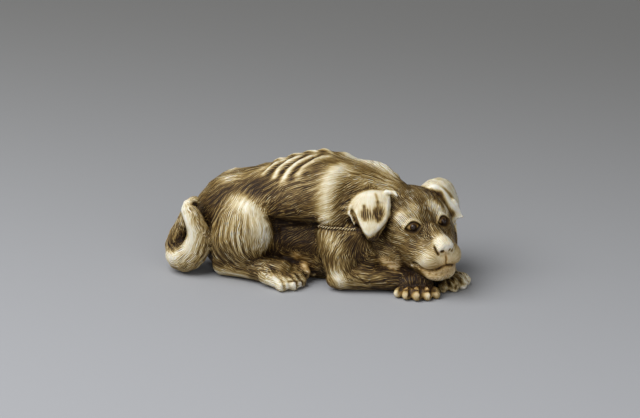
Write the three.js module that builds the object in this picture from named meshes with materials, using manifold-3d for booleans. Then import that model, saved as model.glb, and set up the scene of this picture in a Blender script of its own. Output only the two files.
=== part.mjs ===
// A Japanese netsuke: a lean puppy lying down with its chin on its crossed forepaws, carved from one piece
// of ivory, with two pupils of dark horn let into the eyes.
//
// Millimetres, +Z up. +X runs from rump to head and +Y points to the puppy's left side. The head is turned
// to the puppy's right. The origin ends up under the middle of the piece, on the surface it stands on.

import * as THREE from "three";
import { mergeVertices } from "three/addons/utils/BufferGeometryUtils.js";
import Module from "manifold-3d";

const wasm = await Module();
wasm.setup();

// ---- Driving dimensions ------------------------------------------------------------------------------

const MIDLINE = 8; // y of the spine
const BACK_TOP = 23; // height of the arched back
const BODY_HALF_WIDTH = 9.4; // ribcage, spine to flank
const FLANK_FOLD = 11; // height of the fold between ribcage and belly
const RIBS = 5; // that show on each flank
const RIB_PITCH = 2.15;
const FIRST_RIB = -0.4; // x of the foremost, at the spine
const HEAD_AT = new THREE.Vector3(19.9, 4.0, 11.9); // the point midway between the eyes
const HEAD_TURN = -45; // degrees from the body's line, towards the puppy's right
const EYE = [-1.2, 2.8, 0.35]; // centre of the left eyeball in the head's own frame
const PUPIL_RADIUS = 0.62;
const PUPIL_CLEARANCE = 0.04; // all round the horn, in its socket
const CORD_HOLE_RADIUS = 1.6;

const UP = new THREE.Vector3(0, 0, 1);
const RIGHT = -1; // the puppy's own right, the side that its head is turned to
const LEFT = 1;

// ---- Shapes ------------------------------------------------------------------------------------------

// A coordinate on an oval: roundness 2 is an ellipse, more is boxier and less comes to a ridge.
function onOval(value, roundness) {
  return Math.sign(value) * Math.abs(value) ** (2 / roundness);
}

// A closed skin over a row of rings, each { at: [x, y, z], wide, up, down }: its centre, its half width,
// and how far it reaches above and below that centre. Both ends are rounded off by a share of their size.
function loft(rings, options = {}) {
  const { around = 20, steps = 16, cap = 4, start = 0.7, end = 0.7 } = options;
  const { top = UP, level = null, crown = 2, keel = 2, bow = 0 } = options;
  const line = new THREE.CatmullRomCurve3(rings.map((ring) => new THREE.Vector3(...ring.at)));
  const sizes = rings.map(({ wide, up, down = up }) => new THREE.Vector3(wide, up, down));
  const reach = new THREE.CatmullRomCurve3(sizes);

  const stations = [];
  for (let i = 1; i <= cap; i++) stations.push({ t: 0, tip: -Math.cos((i / cap) * Math.PI * 0.5) * start });
  for (let i = 1; i < steps; i++) stations.push({ t: i / steps, tip: 0 });
  for (let i = cap; i >= 1; i--) stations.push({ t: 1, tip: Math.cos((i / cap) * Math.PI * 0.5) * end });

  const positions = [];
  const poleAt = (t, share) => {
    const size = reach.getPoint(t);
    return line.getPoint(t).addScaledVector(line.getTangent(t), share * Math.min(size.x, size.y));
  };
  positions.push(...poleAt(0, -start).toArray());
  for (const { t, tip } of stations) {
    const size = reach.getPoint(t);
    const tangent = line.getTangent(t);
    const above = level ? new THREE.Vector3().crossVectors(level, tangent) : top;
    const side = new THREE.Vector3().crossVectors(tangent, above).normalize();
    const rise = new THREE.Vector3().crossVectors(side, tangent);
    const centre = poleAt(t, tip);
    const whole = tip < 0 ? start : end;
    const shrink = tip === 0 ? 1 : Math.sqrt(Math.max(0, 1 - (tip / whole) ** 2));
    for (let i = 0; i < around; i++) {
      const angle = (i / around) * 2 * Math.PI;
      const roundness = Math.sin(angle) >= 0 ? crown : keel;
      const across = onOval(Math.cos(angle), roundness) * shrink;
      const height = Math.sin(angle) >= 0 ? size.y : size.z;
      const lift = onOval(Math.sin(angle), roundness) * height * shrink - bow * across ** 2;
      const point = centre.clone().addScaledVector(side, across * size.x).addScaledVector(rise, lift);
      positions.push(...point.toArray());
    }
  }
  positions.push(...poleAt(1, end).toArray());

  const faces = [];
  const last = 1 + stations.length * around;
  for (let i = 0; i < around; i++) {
    const next = (i + 1) % around;
    faces.push(0, 1 + i, 1 + next);
    for (let k = 0; k < stations.length - 1; k++) {
      const [a, b] = [1 + k * around + i, 1 + k * around + next];
      faces.push(a, a + around, b, a + around, b + around, b);
    }
    const [a, b] = [last - around + i, last - around + next];
    faces.push(a, last, b);
  }
  return new THREE.BufferGeometry()
    .setAttribute("position", new THREE.Float32BufferAttribute(positions, 3))
    .setIndex(faces);
}

// An egg: a sphere of the given half sizes, turned by degrees about x, y and z, and set down at a point.
function egg(at, halfSizes, turn = [0, 0, 0], fineness = 12) {
  const degrees = turn.map(THREE.MathUtils.degToRad);
  return new THREE.SphereGeometry(1, fineness, Math.round(fineness * 0.7))
    .applyMatrix4(new THREE.Matrix4().makeScale(...halfSizes))
    .applyMatrix4(new THREE.Matrix4().makeRotationFromEuler(new THREE.Euler(...degrees)))
    .translate(...at);
}

function solidOf(geometry) {
  const bare = geometry.clone().deleteAttribute("normal").deleteAttribute("uv");
  const merged = mergeVertices(bare, 1e-4);
  return new wasm.Manifold(
    new wasm.Mesh({
      numProp: 3,
      vertProperties: new Float32Array(merged.attributes.position.array),
      triVerts: new Uint32Array(merged.index.array),
    }),
  );
}

function geometryOf(solid) {
  const { vertProperties, triVerts } = solid.getMesh();
  return new THREE.BufferGeometry()
    .setAttribute("position", new THREE.Float32BufferAttribute(vertProperties, 3))
    .setIndex(new THREE.BufferAttribute(triVerts, 1));
}

function fuse(geometries) {
  return geometries.map(solidOf).reduce((whole, piece) => whole.add(piece));
}

// The other side's copy of a ring or point that is given for the puppy's left.
const across = ([x, y, z], side) => [x, side * y, z];
const fromMidline = ([x, y, z], side) => [x, MIDLINE + side * y, z];

// ---- Body --------------------------------------------------------------------------------------------

// Rings of the back, from rump to withers. `half` is the half width and `top` the height of the ridge.
const BACK = [
  { x: -24.3, half: 4.4, centre: 8.6, top: 11.2, down: 5 },
  { x: -21.8, half: 6.8, centre: 9.6, top: 14.6, down: 6 },
  { x: -18, half: 8.0, centre: 11.5, top: 17.4, down: 5 },
  { x: -12.5, half: 8.0, centre: 13.0, top: 19.0 },
  { x: -7, half: BODY_HALF_WIDTH - 0.6, centre: 14.0, top: 21.3 },
  { x: -1.5, half: BODY_HALF_WIDTH, centre: 14.6, top: BACK_TOP - 0.1 },
  { x: 4, half: BODY_HALF_WIDTH - 0.8, centre: 14.2, top: 22.1, bend: 0.4 },
  { x: 9, half: 6.6, centre: 13.8, top: 20.0, bend: 0.8 },
  { x: 12.5, half: 5.6, centre: 13, top: 18.3, bend: 0.8 },
];
const BACK_ROUNDNESS = 1.75; // under 2, so the spine comes to a ridge

function ribcage() {
  const rings = BACK.map(({ x, half, centre, top, bend = 0, down = centre - FLANK_FOLD + 0.5 }) => ({
    at: [x, MIDLINE + bend, centre],
    wide: half,
    up: top - centre,
    down,
  }));
  return loft(rings, { around: 22, steps: 14, cap: 3, crown: BACK_ROUNDNESS, keel: 2.2 });
}

// A point on the skin of the back, at `angle` degrees down from the spine.
function onBack(x, angle, side) {
  const after = BACK.findIndex((ring) => ring.x > x);
  const [a, b] = [BACK[after - 1], BACK[after]];
  const between = (key) => THREE.MathUtils.mapLinear(x, a.x, b.x, a[key], b[key]);
  const [half, centre] = [between("half"), between("centre")];
  const turn = THREE.MathUtils.degToRad(angle);
  const out = onOval(Math.sin(turn), BACK_ROUNDNESS) * half;
  const rise = onOval(Math.cos(turn), BACK_ROUNDNESS) * (between("top") - centre);
  return [x, MIDLINE + side * out, centre + rise];
}

// The ribs show through the skin of the lean flanks: low ridges that sweep back as they leave the spine.
function ribs(side) {
  const spread = [12, 26, 40, 54];
  return Array.from({ length: RIBS }, (_, i) => {
    const start = FIRST_RIB - i * RIB_PITCH;
    const rings = spread.map((angle, k) => ({
      at: onBack(start - 1.3 * k, angle, side),
      wide: 0.6,
      up: 0.42 - 0.08 * k,
      down: 0.6,
    }));
    return loft(rings, { around: 5, steps: 4, cap: 1, top: new THREE.Vector3(0, side, 1) });
  });
}

function belly() {
  return loft(
    [
      { at: [-21, MIDLINE, 7], wide: 6.5, up: 5, down: 8 },
      { at: [-10, MIDLINE, 7.5], wide: 7.4, up: 6, down: 9 },
      { at: [0, MIDLINE, 7.5], wide: 7.8, up: 6, down: 9 },
      { at: [9, MIDLINE, 7.5], wide: 7.6, up: 6, down: 9 },
      { at: [15, MIDLINE - 1, 6], wide: 6.4, up: 5, down: 7 },
    ],
    { around: 12, steps: 4, cap: 2, keel: 2.4 },
  );
}

function hipBone(side) {
  return egg(fromMidline([-18.2, 2.4, 15.0], side), [3.2, 2.2, 2.3], [0, 24, 0], 10);
}

// The shoulder blade stands out as a long ridge from the top of the back down to the point of the shoulder.
// The body bends to the puppy's right, so its left shoulder is pushed forward and up.
function shoulderBlade(side) {
  const ahead = side === LEFT ? 4.6 : 0;
  const lift = side === LEFT ? -0.4 : 0;
  const ring = ([x, y, z], wide, up) => ({ at: fromMidline([x + ahead, y, z + lift], side), wide, up });
  return loft(
    [
      ring([4.6, 2.6, 20.2], 2.2, 1.5),
      ring([3.2, 5.4, 18.4], 2.7, 1.6),
      ring([2.2, 7.3, 15.6], 2.8, 1.7),
      ring([2.8, 7.9, 12.4], 2.8, 1.5),
    ],
    { around: 12, steps: 7, cap: 2, top: new THREE.Vector3(0, side, 0.4) },
  );
}

function neck() {
  return loft(
    [
      { at: [5, MIDLINE + 0.2, 12.5], wide: 7.6, up: 8.0, down: 8 },
      { at: [10, MIDLINE + 0.5, 12.0], wide: 6.2, up: 6.9, down: 8 },
      { at: [14.5, MIDLINE - 0.4, 11.2], wide: 5.6, up: 6.0, down: 8 },
    ],
    { around: 16, steps: 3, cap: 2 },
  );
}

// ---- Legs and feet -------------------------------------------------------------------------------------

// The folded thigh, from hip to knee, lies flat against the body.
function haunch(side) {
  return egg(fromMidline([-14.4, 6.8, 9.0], side), [6.3, 5.0, 6.1], [0, -8, 0], 15);
}

// Toes fan out from a point in the paw. `heading` is where the fan's middle points, in degrees from +X.
function toes({ from, heading, step = 30, reach, count, girth = 1.2, lift = 0 }) {
  return Array.from({ length: count }, (_, i) => {
    const place = i - (count - 1) / 2;
    const angle = THREE.MathUtils.degToRad(heading + place * step);
    const size = girth * (1 - 0.04 * place ** 2);
    const x = from[0] + reach * Math.cos(angle);
    const y = from[1] + reach * Math.sin(angle);
    return egg([x, y, size + lift], [size * 1.8, size, size * 1.3], [0, 18, heading + place * step], 7);
  });
}

function rightHindLeg() {
  const foot = loft(
    [
      { at: [-18.4, 0.4, 2.3], wide: 2.2, up: 2.3 },
      { at: [-14, -0.4, 2.4], wide: 2.2, up: 2.2, down: 2.1 },
      { at: [-9, -1.0, 2.2], wide: 2.7, up: 2.5, down: 2.3 },
      { at: [-6, -1.2, 2.0], wide: 2.9, up: 2.6, down: 2.1 },
    ],
    { around: 12, steps: 7, cap: 2 },
  );
  return [foot, ...toes({ from: [-7.0, -1.0], heading: -22, reach: 3.4, count: 4, girth: 1.35 })];
}

function leftHindLeg() {
  const foot = loft(
    [
      { at: [-14, 6, 3], wide: 2.6, up: 2.2 },
      { at: [-9, 4.4, 3.2], wide: 2.8, up: 2.3 },
      { at: [-5.4, 3.0, 3.2], wide: 2.7, up: 2.3 },
    ],
    { around: 12, steps: 5, cap: 2 },
  );
  return [foot, ...toes({ from: [-5.4, 3.2], heading: -28, reach: 3.0, count: 4, girth: 1.4, lift: 0.8 })];
}

function foreleg(side) {
  return loft(
    [
      { at: fromMidline([2.8, 6.6, 10.6], side), wide: 3.7, up: 3.0 },
      { at: fromMidline([4.2, 7.6, 7.6], side), wide: 4.1, up: 3.4 },
      { at: fromMidline([4.6, 8.5, 3.4], side), wide: 3.0, up: 3.0 },
    ],
    { around: 12, steps: 5, cap: 2, top: new THREE.Vector3(0, side, 0) },
  );
}

function rightForearm() {
  const forearm = loft(
    [
      { at: [4.4, -0.9, 2.6], wide: 2.8, up: 2.7 },
      { at: [10.5, 0.3, 2.4], wide: 2.6, up: 2.3 },
      { at: [16.4, 1.6, 2.1], wide: 2.7, up: 2.0 },
    ],
    { around: 12, steps: 5, cap: 2 },
  );
  const paw = loft(
    [
      { at: [17.6, 3.0, 2.2], wide: 3.0, up: 2.2 },
      { at: [18.7, -0.2, 1.9], wide: 3.3, up: 1.9 },
    ],
    { around: 12, steps: 3, cap: 2 },
  );
  const fan = toes({ from: [18.3, 2.5], heading: -77, step: 19, reach: 5, count: 5, girth: 1.1 });
  return [forearm, paw, ...fan];
}

function leftForearm() {
  const forearm = loft(
    [
      { at: [5.4, 16.6, 2.6], wide: 2.7, up: 2.6 },
      { at: [13, 14, 2.7], wide: 2.5, up: 2.6 },
      { at: [18.5, 9.4, 2.7], wide: 2.6, up: 2.4 },
      { at: [22.6, 6.2, 2.2], wide: 2.8, up: 2.2 },
    ],
    { around: 12, steps: 7, cap: 2 },
  );
  const fan = toes({ from: [21.4, 6.7], heading: -32, step: 24, reach: 4.2, count: 4, girth: 1.2 });
  return [forearm, ...fan];
}

// ---- Tail --------------------------------------------------------------------------------------------

// It drops from the rump, sweeps round on the ground to the right and climbs the haunch to a hooked tip.
function tail() {
  return loft(
    [
      { at: [-23.5, 7.2, 9.6], wide: 2.6, up: 2.2 },
      { at: [-26.4, 4.4, 6.8], wide: 2.6, up: 2.2 },
      { at: [-27.4, 1.2, 3.6], wide: 2.4, up: 2.2 },
      { at: [-25.6, -0.6, 2.6], wide: 2.5, up: 2.2 },
      { at: [-23.2, -1.0, 4.6], wide: 2.8, up: 1.9 },
      { at: [-22.2, -1.0, 7.8], wide: 2.6, up: 1.7 },
      { at: [-23.3, -0.8, 11.2], wide: 1.9, up: 1.4 },
      { at: [-24.5, 0.2, 13.1], wide: 1.3, up: 1.1 },
      { at: [-23.3, 1.4, 13.7], wide: 1.0, up: 0.9 },
    ],
    { around: 10, steps: 18, cap: 2, top: new THREE.Vector3(-0.3, -1, 0) },
  );
}

// ---- Head, in its own frame: +X to the nose, +Y to the puppy's left, origin between the eyes -----------

function skull() {
  const ring = (x, centre, wide, top, bottom) => ({
    at: [x, 0, centre],
    wide,
    up: top - centre,
    down: centre - bottom,
  });
  return loft(
    [
      ring(-11.5, -0.6, 6.4, 4.8, -7.0),
      ring(-8.2, -1.2, 7.0, 5.4, -8.2),
      ring(-5, -1.9, 7.1, 4.9, -8.8),
      ring(-2.2, -2.8, 6.6, 2.2, -9.0),
      ring(0.2, -3.8, 5.5, -1.0, -9.1),
      ring(2.4, -4.5, 4.5, -2.2, -9.1),
      ring(4.4, -4.9, 3.8, -2.1, -8.9),
      ring(5.6, -5.1, 2.7, -2.8, -7.8),
    ],
    { around: 18, steps: 11, cap: 2, start: 0.5, end: 0.5, crown: 2.3, keel: 2.7 },
  );
}

function faceForms(side) {
  return [
    egg(across([-5.4, 4.6, -5.8], side), [5.2, 4.1, 4.5], [0, 0, 0], 12), // cheek
    egg(across([-2.9, 2.8, 1.9], side), [2.6, 2.3, 1.6], [0, 35, 0], 10), // brow
    egg(across(EYE, side), [1.5, 1.45, 1.2], [0, 0, 0], 10), // eyeball
    egg(across([4.2, 1.85, -4.4], side), [2.5, 2.25, 2.4], [0, 10, 0], 10), // whisker pad
  ];
}

function muzzleForms() {
  return [
    egg([1.2, 0, -1.4], [4.4, 2.0, 1.9], [0, 24, 0], 12), // bridge of the nose
    egg([5.5, 0, -2.0], [1.35, 1.75, 1.6], [0, -20, 0], 10), // nose
    egg([4.0, 0, -7.6], [2.5, 3.1, 1.5], [0, 0, 0], 12), // lower jaw
  ];
}

// The horn pupil is a bead let into the front of the eyeball, and looks a little outwards.
function pupilAt(side, radius) {
  const gaze = THREE.MathUtils.degToRad(18);
  const at = [EYE[0] + 1.1 * Math.cos(gaze), EYE[1] + 1.1 * Math.sin(gaze), EYE[2]];
  return egg(across(at, side), [radius, radius, radius], [0, 0, 0], 10).applyMatrix4(headFrame());
}

// The ear rises from the back of the head, folds over forwards and hangs, leaning out, to a blunt point.
// Each ring is `out` in front of the top of the fold and `high` above it, and stays level across the flap.
function ear(side) {
  const fold = side === LEFT ? new THREE.Vector3(-6.4, 7.3, 4.9) : new THREE.Vector3(-5.9, -8.5, 5.4);
  const outwards = new THREE.Vector3(0.866, 0.5 * side, 0);
  const level = new THREE.Vector3(-0.5, 0.866 * side, 0);
  const ring = (out, high, wide, thick) => ({
    at: [fold.x + out * outwards.x, fold.y + out * outwards.y, fold.z + high],
    wide,
    up: thick,
  });
  return loft(
    [
      ring(-4.8, -2.9, 2.6, 1.0),
      ring(-3.2, -0.8, 3.3, 0.9),
      ring(-1.5, 0, 3.5, 0.75),
      ring(0.1, -0.7, 3.7, 0.65),
      ring(1.3, -2.6, 3.6, 0.6),
      ring(2.5, -4.8, 2.6, 0.55),
      ring(3.6, -6.9, 1.0, 0.45),
    ],
    { around: 12, steps: 10, cap: 2, level, bow: -0.7 * side },
  );
}

function headFrame() {
  return new THREE.Matrix4()
    .makeRotationZ(THREE.MathUtils.degToRad(HEAD_TURN))
    .setPosition(HEAD_AT);
}

// ---- Putting it together -------------------------------------------------------------------------------

// Two holes in the belly, joined inside by a half ring, take the cord that the netsuke hangs from.
function cordChannel() {
  const [halfSpan, x] = [4.5, -5.5];
  return new THREE.TorusGeometry(halfSpan, CORD_HOLE_RADIUS, 8, 20)
    .rotateX(Math.PI / 2)
    .translate(x, MIDLINE, 0);
}

function puppy() {
  const head = [skull(), ...muzzleForms()];
  for (const side of [RIGHT, LEFT]) head.push(ear(side), ...faceForms(side));
  const body = [ribcage(), belly(), neck(), tail()];
  for (const side of [RIGHT, LEFT]) {
    body.push(...ribs(side), hipBone(side), shoulderBlade(side), haunch(side), foreleg(side));
  }
  body.push(...rightHindLeg(), ...leftHindLeg(), ...rightForearm(), ...leftForearm());
  const whole = fuse([...body, ...head.map((form) => form.applyMatrix4(headFrame()))]);
  const ground = new THREE.BoxGeometry(200, 200, 20).translate(0, 0, -10);
  const sockets = [RIGHT, LEFT].map((side) => pupilAt(side, PUPIL_RADIUS + PUPIL_CLEARANCE));
  return whole.subtract(fuse([ground, cordChannel(), ...sockets]));
}

const ivory = new THREE.MeshStandardMaterial({ name: "ivory", color: 0xcbb98c, roughness: 0.38 });
const horn = new THREE.MeshStandardMaterial({ name: "dark_horn", color: 0x1c0f08, roughness: 0.15 });

function named(name, geometry, material) {
  const mesh = new THREE.Mesh(geometry, material);
  mesh.name = name;
  return mesh;
}

const netsuke = new THREE.Group();
netsuke.add(
  named("ivory_puppy", geometryOf(puppy()), ivory),
  named("right_pupil", geometryOf(solidOf(pupilAt(RIGHT, PUPIL_RADIUS))), horn),
  named("left_pupil", geometryOf(solidOf(pupilAt(LEFT, PUPIL_RADIUS))), horn),
);

// The origin goes under the middle of the whole piece.
const extent = new THREE.Box3().setFromObject(netsuke, true);
const middle = extent.getCenter(new THREE.Vector3()).setZ(extent.min.z);
for (const mesh of netsuke.children) mesh.position.sub(middle);

export default netsuke;
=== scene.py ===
# %% [markdown]
# A netsuke is a toggle, small enough to close a hand around. This one is a puppy cut from a single piece of
# ivory, with two beads of dark horn for its pupils. The solids are already at their true size.
# Here the puppy gets its fur, its face and a century of polish.

from math import cos, radians, sin

import bmesh
import bpy
import numpy as np
from mathutils import Matrix, Vector
from mathutils.bvhtree import BVHTree


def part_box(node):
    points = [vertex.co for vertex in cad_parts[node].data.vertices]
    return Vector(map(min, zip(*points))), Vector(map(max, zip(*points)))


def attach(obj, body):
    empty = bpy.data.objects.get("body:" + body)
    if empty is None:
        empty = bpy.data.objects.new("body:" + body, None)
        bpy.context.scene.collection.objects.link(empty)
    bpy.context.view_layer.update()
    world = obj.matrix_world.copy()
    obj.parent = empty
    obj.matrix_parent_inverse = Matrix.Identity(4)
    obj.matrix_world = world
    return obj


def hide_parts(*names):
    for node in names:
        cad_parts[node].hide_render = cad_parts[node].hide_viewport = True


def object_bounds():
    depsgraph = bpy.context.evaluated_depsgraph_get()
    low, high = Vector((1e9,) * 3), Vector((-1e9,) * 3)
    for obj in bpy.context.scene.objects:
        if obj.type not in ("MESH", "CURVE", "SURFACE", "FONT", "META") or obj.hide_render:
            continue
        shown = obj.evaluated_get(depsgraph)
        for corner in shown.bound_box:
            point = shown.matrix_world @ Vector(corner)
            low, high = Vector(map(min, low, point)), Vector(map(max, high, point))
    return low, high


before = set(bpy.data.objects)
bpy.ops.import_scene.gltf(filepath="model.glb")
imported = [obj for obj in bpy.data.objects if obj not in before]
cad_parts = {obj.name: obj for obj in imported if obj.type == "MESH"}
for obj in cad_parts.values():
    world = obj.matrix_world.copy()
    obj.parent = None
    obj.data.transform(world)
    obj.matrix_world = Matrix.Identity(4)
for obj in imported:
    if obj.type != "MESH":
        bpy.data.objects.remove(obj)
cad_box = [list(corner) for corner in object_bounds()]
print("solids:", sorted(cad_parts))

MM = 0.001

# %% [markdown]
# The carving is laid out in millimetres from two edges of the solid that are easy to name, the back of the
# tail and the toe that reaches furthest to the right. Every place below is in that layout. The head has its
# own turned frame, because it looks over the right forepaw. Most strokes come twice, once on either side:
# `FLANKS`, `CHEEKS` and `SNOUTS` read the same rows of places first for the right side and then for the left.

# %% Lay out the carving
TAIL_BACK = -29.75
RIGHT_TOE = -6.02
lowest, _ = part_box("ivory_puppy")
layout = np.array([TAIL_BACK, RIGHT_TOE, 0.0]) - np.array(lowest) / MM
print("layout starts at", layout.round(2), "mm")

HEAD_AT = np.array([19.9, 4.0, 11.9])
HEAD_TURN = radians(-45)
SPINE = 8.0
RIGHT, LEFT = -1, 1


def head(x, y, z, side=LEFT):
    """A point of the head: x towards the nose, y out from the middle of the face, z up."""
    y = y * side
    turned = (x * cos(HEAD_TURN) - y * sin(HEAD_TURN), x * sin(HEAD_TURN) + y * cos(HEAD_TURN), z)
    return HEAD_AT + turned


def nose(x, y, z, side):
    """A point of the nose, which sits a little to the right of the middle of the face and dips that way."""
    return head(x, side * y - 0.3, z + 0.15 * side * y)


def body(x, out, z, side=RIGHT):
    """A point of the body, `out` from the spine."""
    return np.array([x, SPINE + side * out, z])


def places_on(part, side):
    """Reads rows of (x, out, z) on one side of the puppy, in the frame of one part."""
    return lambda *points: [part(*point, side) for point in points]


FLANKS = [places_on(body, side) for side in (RIGHT, LEFT)]
CHEEKS = [places_on(head, side) for side in (RIGHT, LEFT)]
SNOUTS = [places_on(nose, side) for side in (RIGHT, LEFT)]

# %% [markdown]
# A sculptor fills before smoothing. Rolls of clay go into the seams that the solid leaves open: under the
# thigh, in the curl of the tail, along the toes and between the lumps of the muzzle. A roll is a row of small
# spheres, and a later step fuses it with the puppy.


# %% Rolls of clay
def roll(start, end, first, last):
    """A roll from start to end, whose radius goes from `first` to `last`."""
    start, end = np.array(start, float), np.array(end, float)
    count = max(2, int(np.linalg.norm(end - start) / (0.3 * min(first, last))) + 1)
    return [(start + t * (end - start), first + t * (last - first)) for t in np.linspace(0, 1, count)]


CLAY = []
for flank, cheek in zip(FLANKS, CHEEKS):
    # thigh into shank, and thigh into rump
    CLAY += roll(*flank((-17.4, 5.6, 6.2), (-12.6, 6.0, 5.8)), 3.6, 3.4)
    CLAY += roll(*flank((-16.8, 8.0, 7.6), (-17.9, 7.4, 3.0)), 3.7, 2.5)
    CLAY += roll(*flank((-13.8, 8.3, 6.6), (-13.4, 8.2, 3.2)), 3.6, 2.6)
    CLAY += roll(*flank((-18.2, 4.6, 9.5), (-16.8, 4.8, 13.2)), 4.0, 3.6)
    # bridge of the nose, its pad, and the cheek behind the lips
    CLAY += roll(head(0.8, 0, -0.9), head(4.9, 0, -1.7), 1.9, 1.45)
    CLAY += roll(*cheek((4.6, 1.0, -1.9), (5.5, 0.9, -2.5)), 1.15, 1.05)
    CLAY += roll(*cheek((2.2, 1.8, -3.2), (4.4, 1.9, -3.9)), 2.2, 1.9)
    # elbow
    CLAY += roll(*flank((4.05, 9.55, 3.4), (3.95, 9.55, 2.1)), 1.75, 1.85)
# armpit
CLAY += roll((6.6, 0.9, 9.6), (9.2, 1.5, 5.2), 2.8, 2.6)
# the free corner of the far ear
CLAY += roll((22.5, 12.7, 14.2), (23.8, 12.9, 12.2), 0.4, 0.5)
CLAY += roll((23.8, 12.9, 12.2), (24.4, 12.75, 11.2), 0.5, 0.33)
CLAY += roll((22.9, 12.3, 11.5), (24.1, 12.7, 11.1), 0.5, 0.3)
# the curl of the tail
CLAY += roll((-25.5, 2.2, 10.2), (-27.0, 0.9, 6.0), 1.5, 1.7)
CLAY += roll((-24.6, 0.6, 11.8), (-25.8, 1.2, 8.6), 1.1, 1.4)
# rump, and the crest of the far shoulder
CLAY += roll((-20.4, 7.8, 14.2), (-22.3, 7.0, 11.6), 2.6, 2.8)
CLAY += roll((4.4, 9.8, 19.6), (7.4, 10.9, 19.0), 1.8, 2.45)
CLAY += roll((7.4, 10.9, 19.0), (11.0, 10.4, 17.4), 2.45, 2.2)
# toes of the near hind foot
CLAY += roll((-9.0, -3.0, 1.9), (-5.0, -4.75, 1.15), 1.45, 1.1)
CLAY += roll((-8.0, -2.2, 2.3), (-3.4, -3.9, 1.2), 1.35, 1.1)
CLAY += roll((-6.6, -1.6, 2.4), (-2.6, -2.8, 1.1), 1.2, 0.85)
print("clay:", len(CLAY), "small spheres")

# %% [markdown]
# The near ear is a thin leaf hanging from its fold. It has its own frame, across and down from the middle of
# the fold, in which its edge is drawn as a closed curve. The solid's ear is pressed flat to make room for it.

# %% A leaf for the near ear
FOLD = np.array([10.6, 3.6, 18.2])
EAR_OUT = np.array([0.15, -0.80, 0.58])
EAR_ACROSS = np.array([0.983, 0.184, 0.0])
EAR_UP = np.cross(EAR_OUT, EAR_ACROSS)
LEAF_MIDDLE = np.array([-1.0, -3.9])
LEAF_EDGE = [(0, 0), (1.3, 0.05), (2.2, -0.5), (2.1, -1.5), (2.1, -3.4), (1.9, -5.1), (1.0, -6.8),
             (-0.2, -8.1), (-1.2, -8.8), (-2.0, -8.5), (-2.7, -7.35), (-3.3, -6.2), (-4.0, -5.0),
             (-4.9, -3.8), (-5.1, -2.9), (-4.1, -1.4), (-2.9, -0.5), (-1.6, -0.05)]
LEAF_THICK = 1.2
EDGE_SAMPLES = 144
EDGE_WAVES = 14


def on_leaf(*points):
    """Places on the near ear: (over, up) across the leaf and up from its fold, and `lift` above its plane."""
    return [FOLD + over * EAR_ACROSS + up * EAR_UP + sum(lift) * EAR_OUT for over, up, *lift in points]


def from_leaf(points):
    """The other way round: how far over, up and lifted places are in the near ear's frame."""
    offset = points - FOLD
    return offset @ EAR_ACROSS, offset @ EAR_UP, offset @ EAR_OUT


def leaf_lift(over, up):
    """The leaf bends back at both sides, at the fold and at the tip."""
    sides = 0.055 * (over + 1.2) ** 2
    fold = 0.38 * np.clip(up + 1.5, 0, None) ** 2
    tip = 0.05 * np.clip(-6 - up, 0, None) ** 2
    return 0.8 - sides - fold - tip


def leaf_radius(turn):
    """Distance of the leaf's edge from its middle, as a few smooth waves round the turn."""
    spokes = np.array(LEAF_EDGE) - LEAF_MIDDLE
    turns, lengths = np.arctan2(spokes[:, 1], spokes[:, 0]), np.hypot(*spokes.T)
    order = np.argsort(turns)
    even = np.linspace(-np.pi, np.pi, EDGE_SAMPLES, endpoint=False)
    waves = np.fft.rfft(np.interp(even, turns[order], lengths[order], period=2 * np.pi))
    waves[EDGE_WAVES:] = 0
    return np.interp(turn, even, np.fft.irfft(waves), period=2 * np.pi)


def add_leaf(net):
    """A sphere drawn out into the leaf: its equator becomes the edge."""
    for vert in bmesh.ops.create_uvsphere(net, u_segments=72, v_segments=36, radius=1)["verts"]:
        x, y, z = vert.co
        turn = np.arctan2(y, x)
        spoke = leaf_radius(turn) * np.hypot(x, y)
        over, up = LEAF_MIDDLE + spoke * np.array([cos(turn), sin(turn)])
        face_lift = LEAF_THICK / 2 * (np.sign(z) * abs(z) ** 0.4 - 1)
        vert.co = Vector(on_leaf((over, up, leaf_lift(over, up) + face_lift))[0])


# the hooked corner by the crown, and the lip at the back edge
CLAY += roll(*on_leaf((1.4, -0.45, 0.1), (2.9, -0.5, 0.2)), 0.45, 0.36)
CLAY += roll(*on_leaf((2.9, -0.5, 0.2), (3.4, -1.15, 0.4)), 0.36, 0.26)
CLAY += roll(*on_leaf((-5.0, -3.2, -0.1), (-5.1, -4.6, -0.2)), 0.4, 0.35)
CLAY += roll(*on_leaf((-5.1, -4.6, -0.2), (-4.1, -6.7, -0.45)), 0.35, 0.25)
print("leaf:", len(LEAF_EDGE), "points on its edge")

# %% Press the solid's ears out of the way
FLAP_OVER, FLAP_UP, FLAP_LIFT = (-6.6, 3.6), (-10.4, 0.9), (-0.5, 4)
LEAF_TIP = -7.6
PRESSED = 0.75
FAR_TIP_X, FAR_TIP_Y = 21.8, (11, 15)
FAR_TIP_FLOOR = 10.8


def press_back(point):
    """Moves a point of the solid's near ear back towards the neck, and of the far ear's tip up."""
    over, up, lift = from_leaf(point)
    inside = min(over - FLAP_OVER[0], FLAP_OVER[1] - over, up - FLAP_UP[0], FLAP_UP[1] - up)
    if inside > 0 and FLAP_LIFT[0] < lift < FLAP_LIFT[1]:
        past_tip = min(max((LEAF_TIP - up) / 0.8, 0), 1)
        press = PRESSED + (1 - PRESSED) * past_tip
        return point - min(inside, 1) * press * (lift - FLAP_LIFT[0]) * EAR_OUT
    if point[0] > FAR_TIP_X and FAR_TIP_Y[0] < point[1] < FAR_TIP_Y[1]:
        return np.array([point[0], point[1], max(point[2], FAR_TIP_FLOOR)])
    return point


print("far ear's tip stays above", FAR_TIP_FLOOR, "mm")

# %% [markdown]
# A carver works down from a block, but a net of points is easiest to shape when it is even. The solid is
# copied, its loose triangles are merged, and a voxel remesh wraps the whole puppy in one close net of
# squares.

# %% Copy the solid and give it an even skin
VOXEL = 0.205
SAME_POINT = 1e-7


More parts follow.
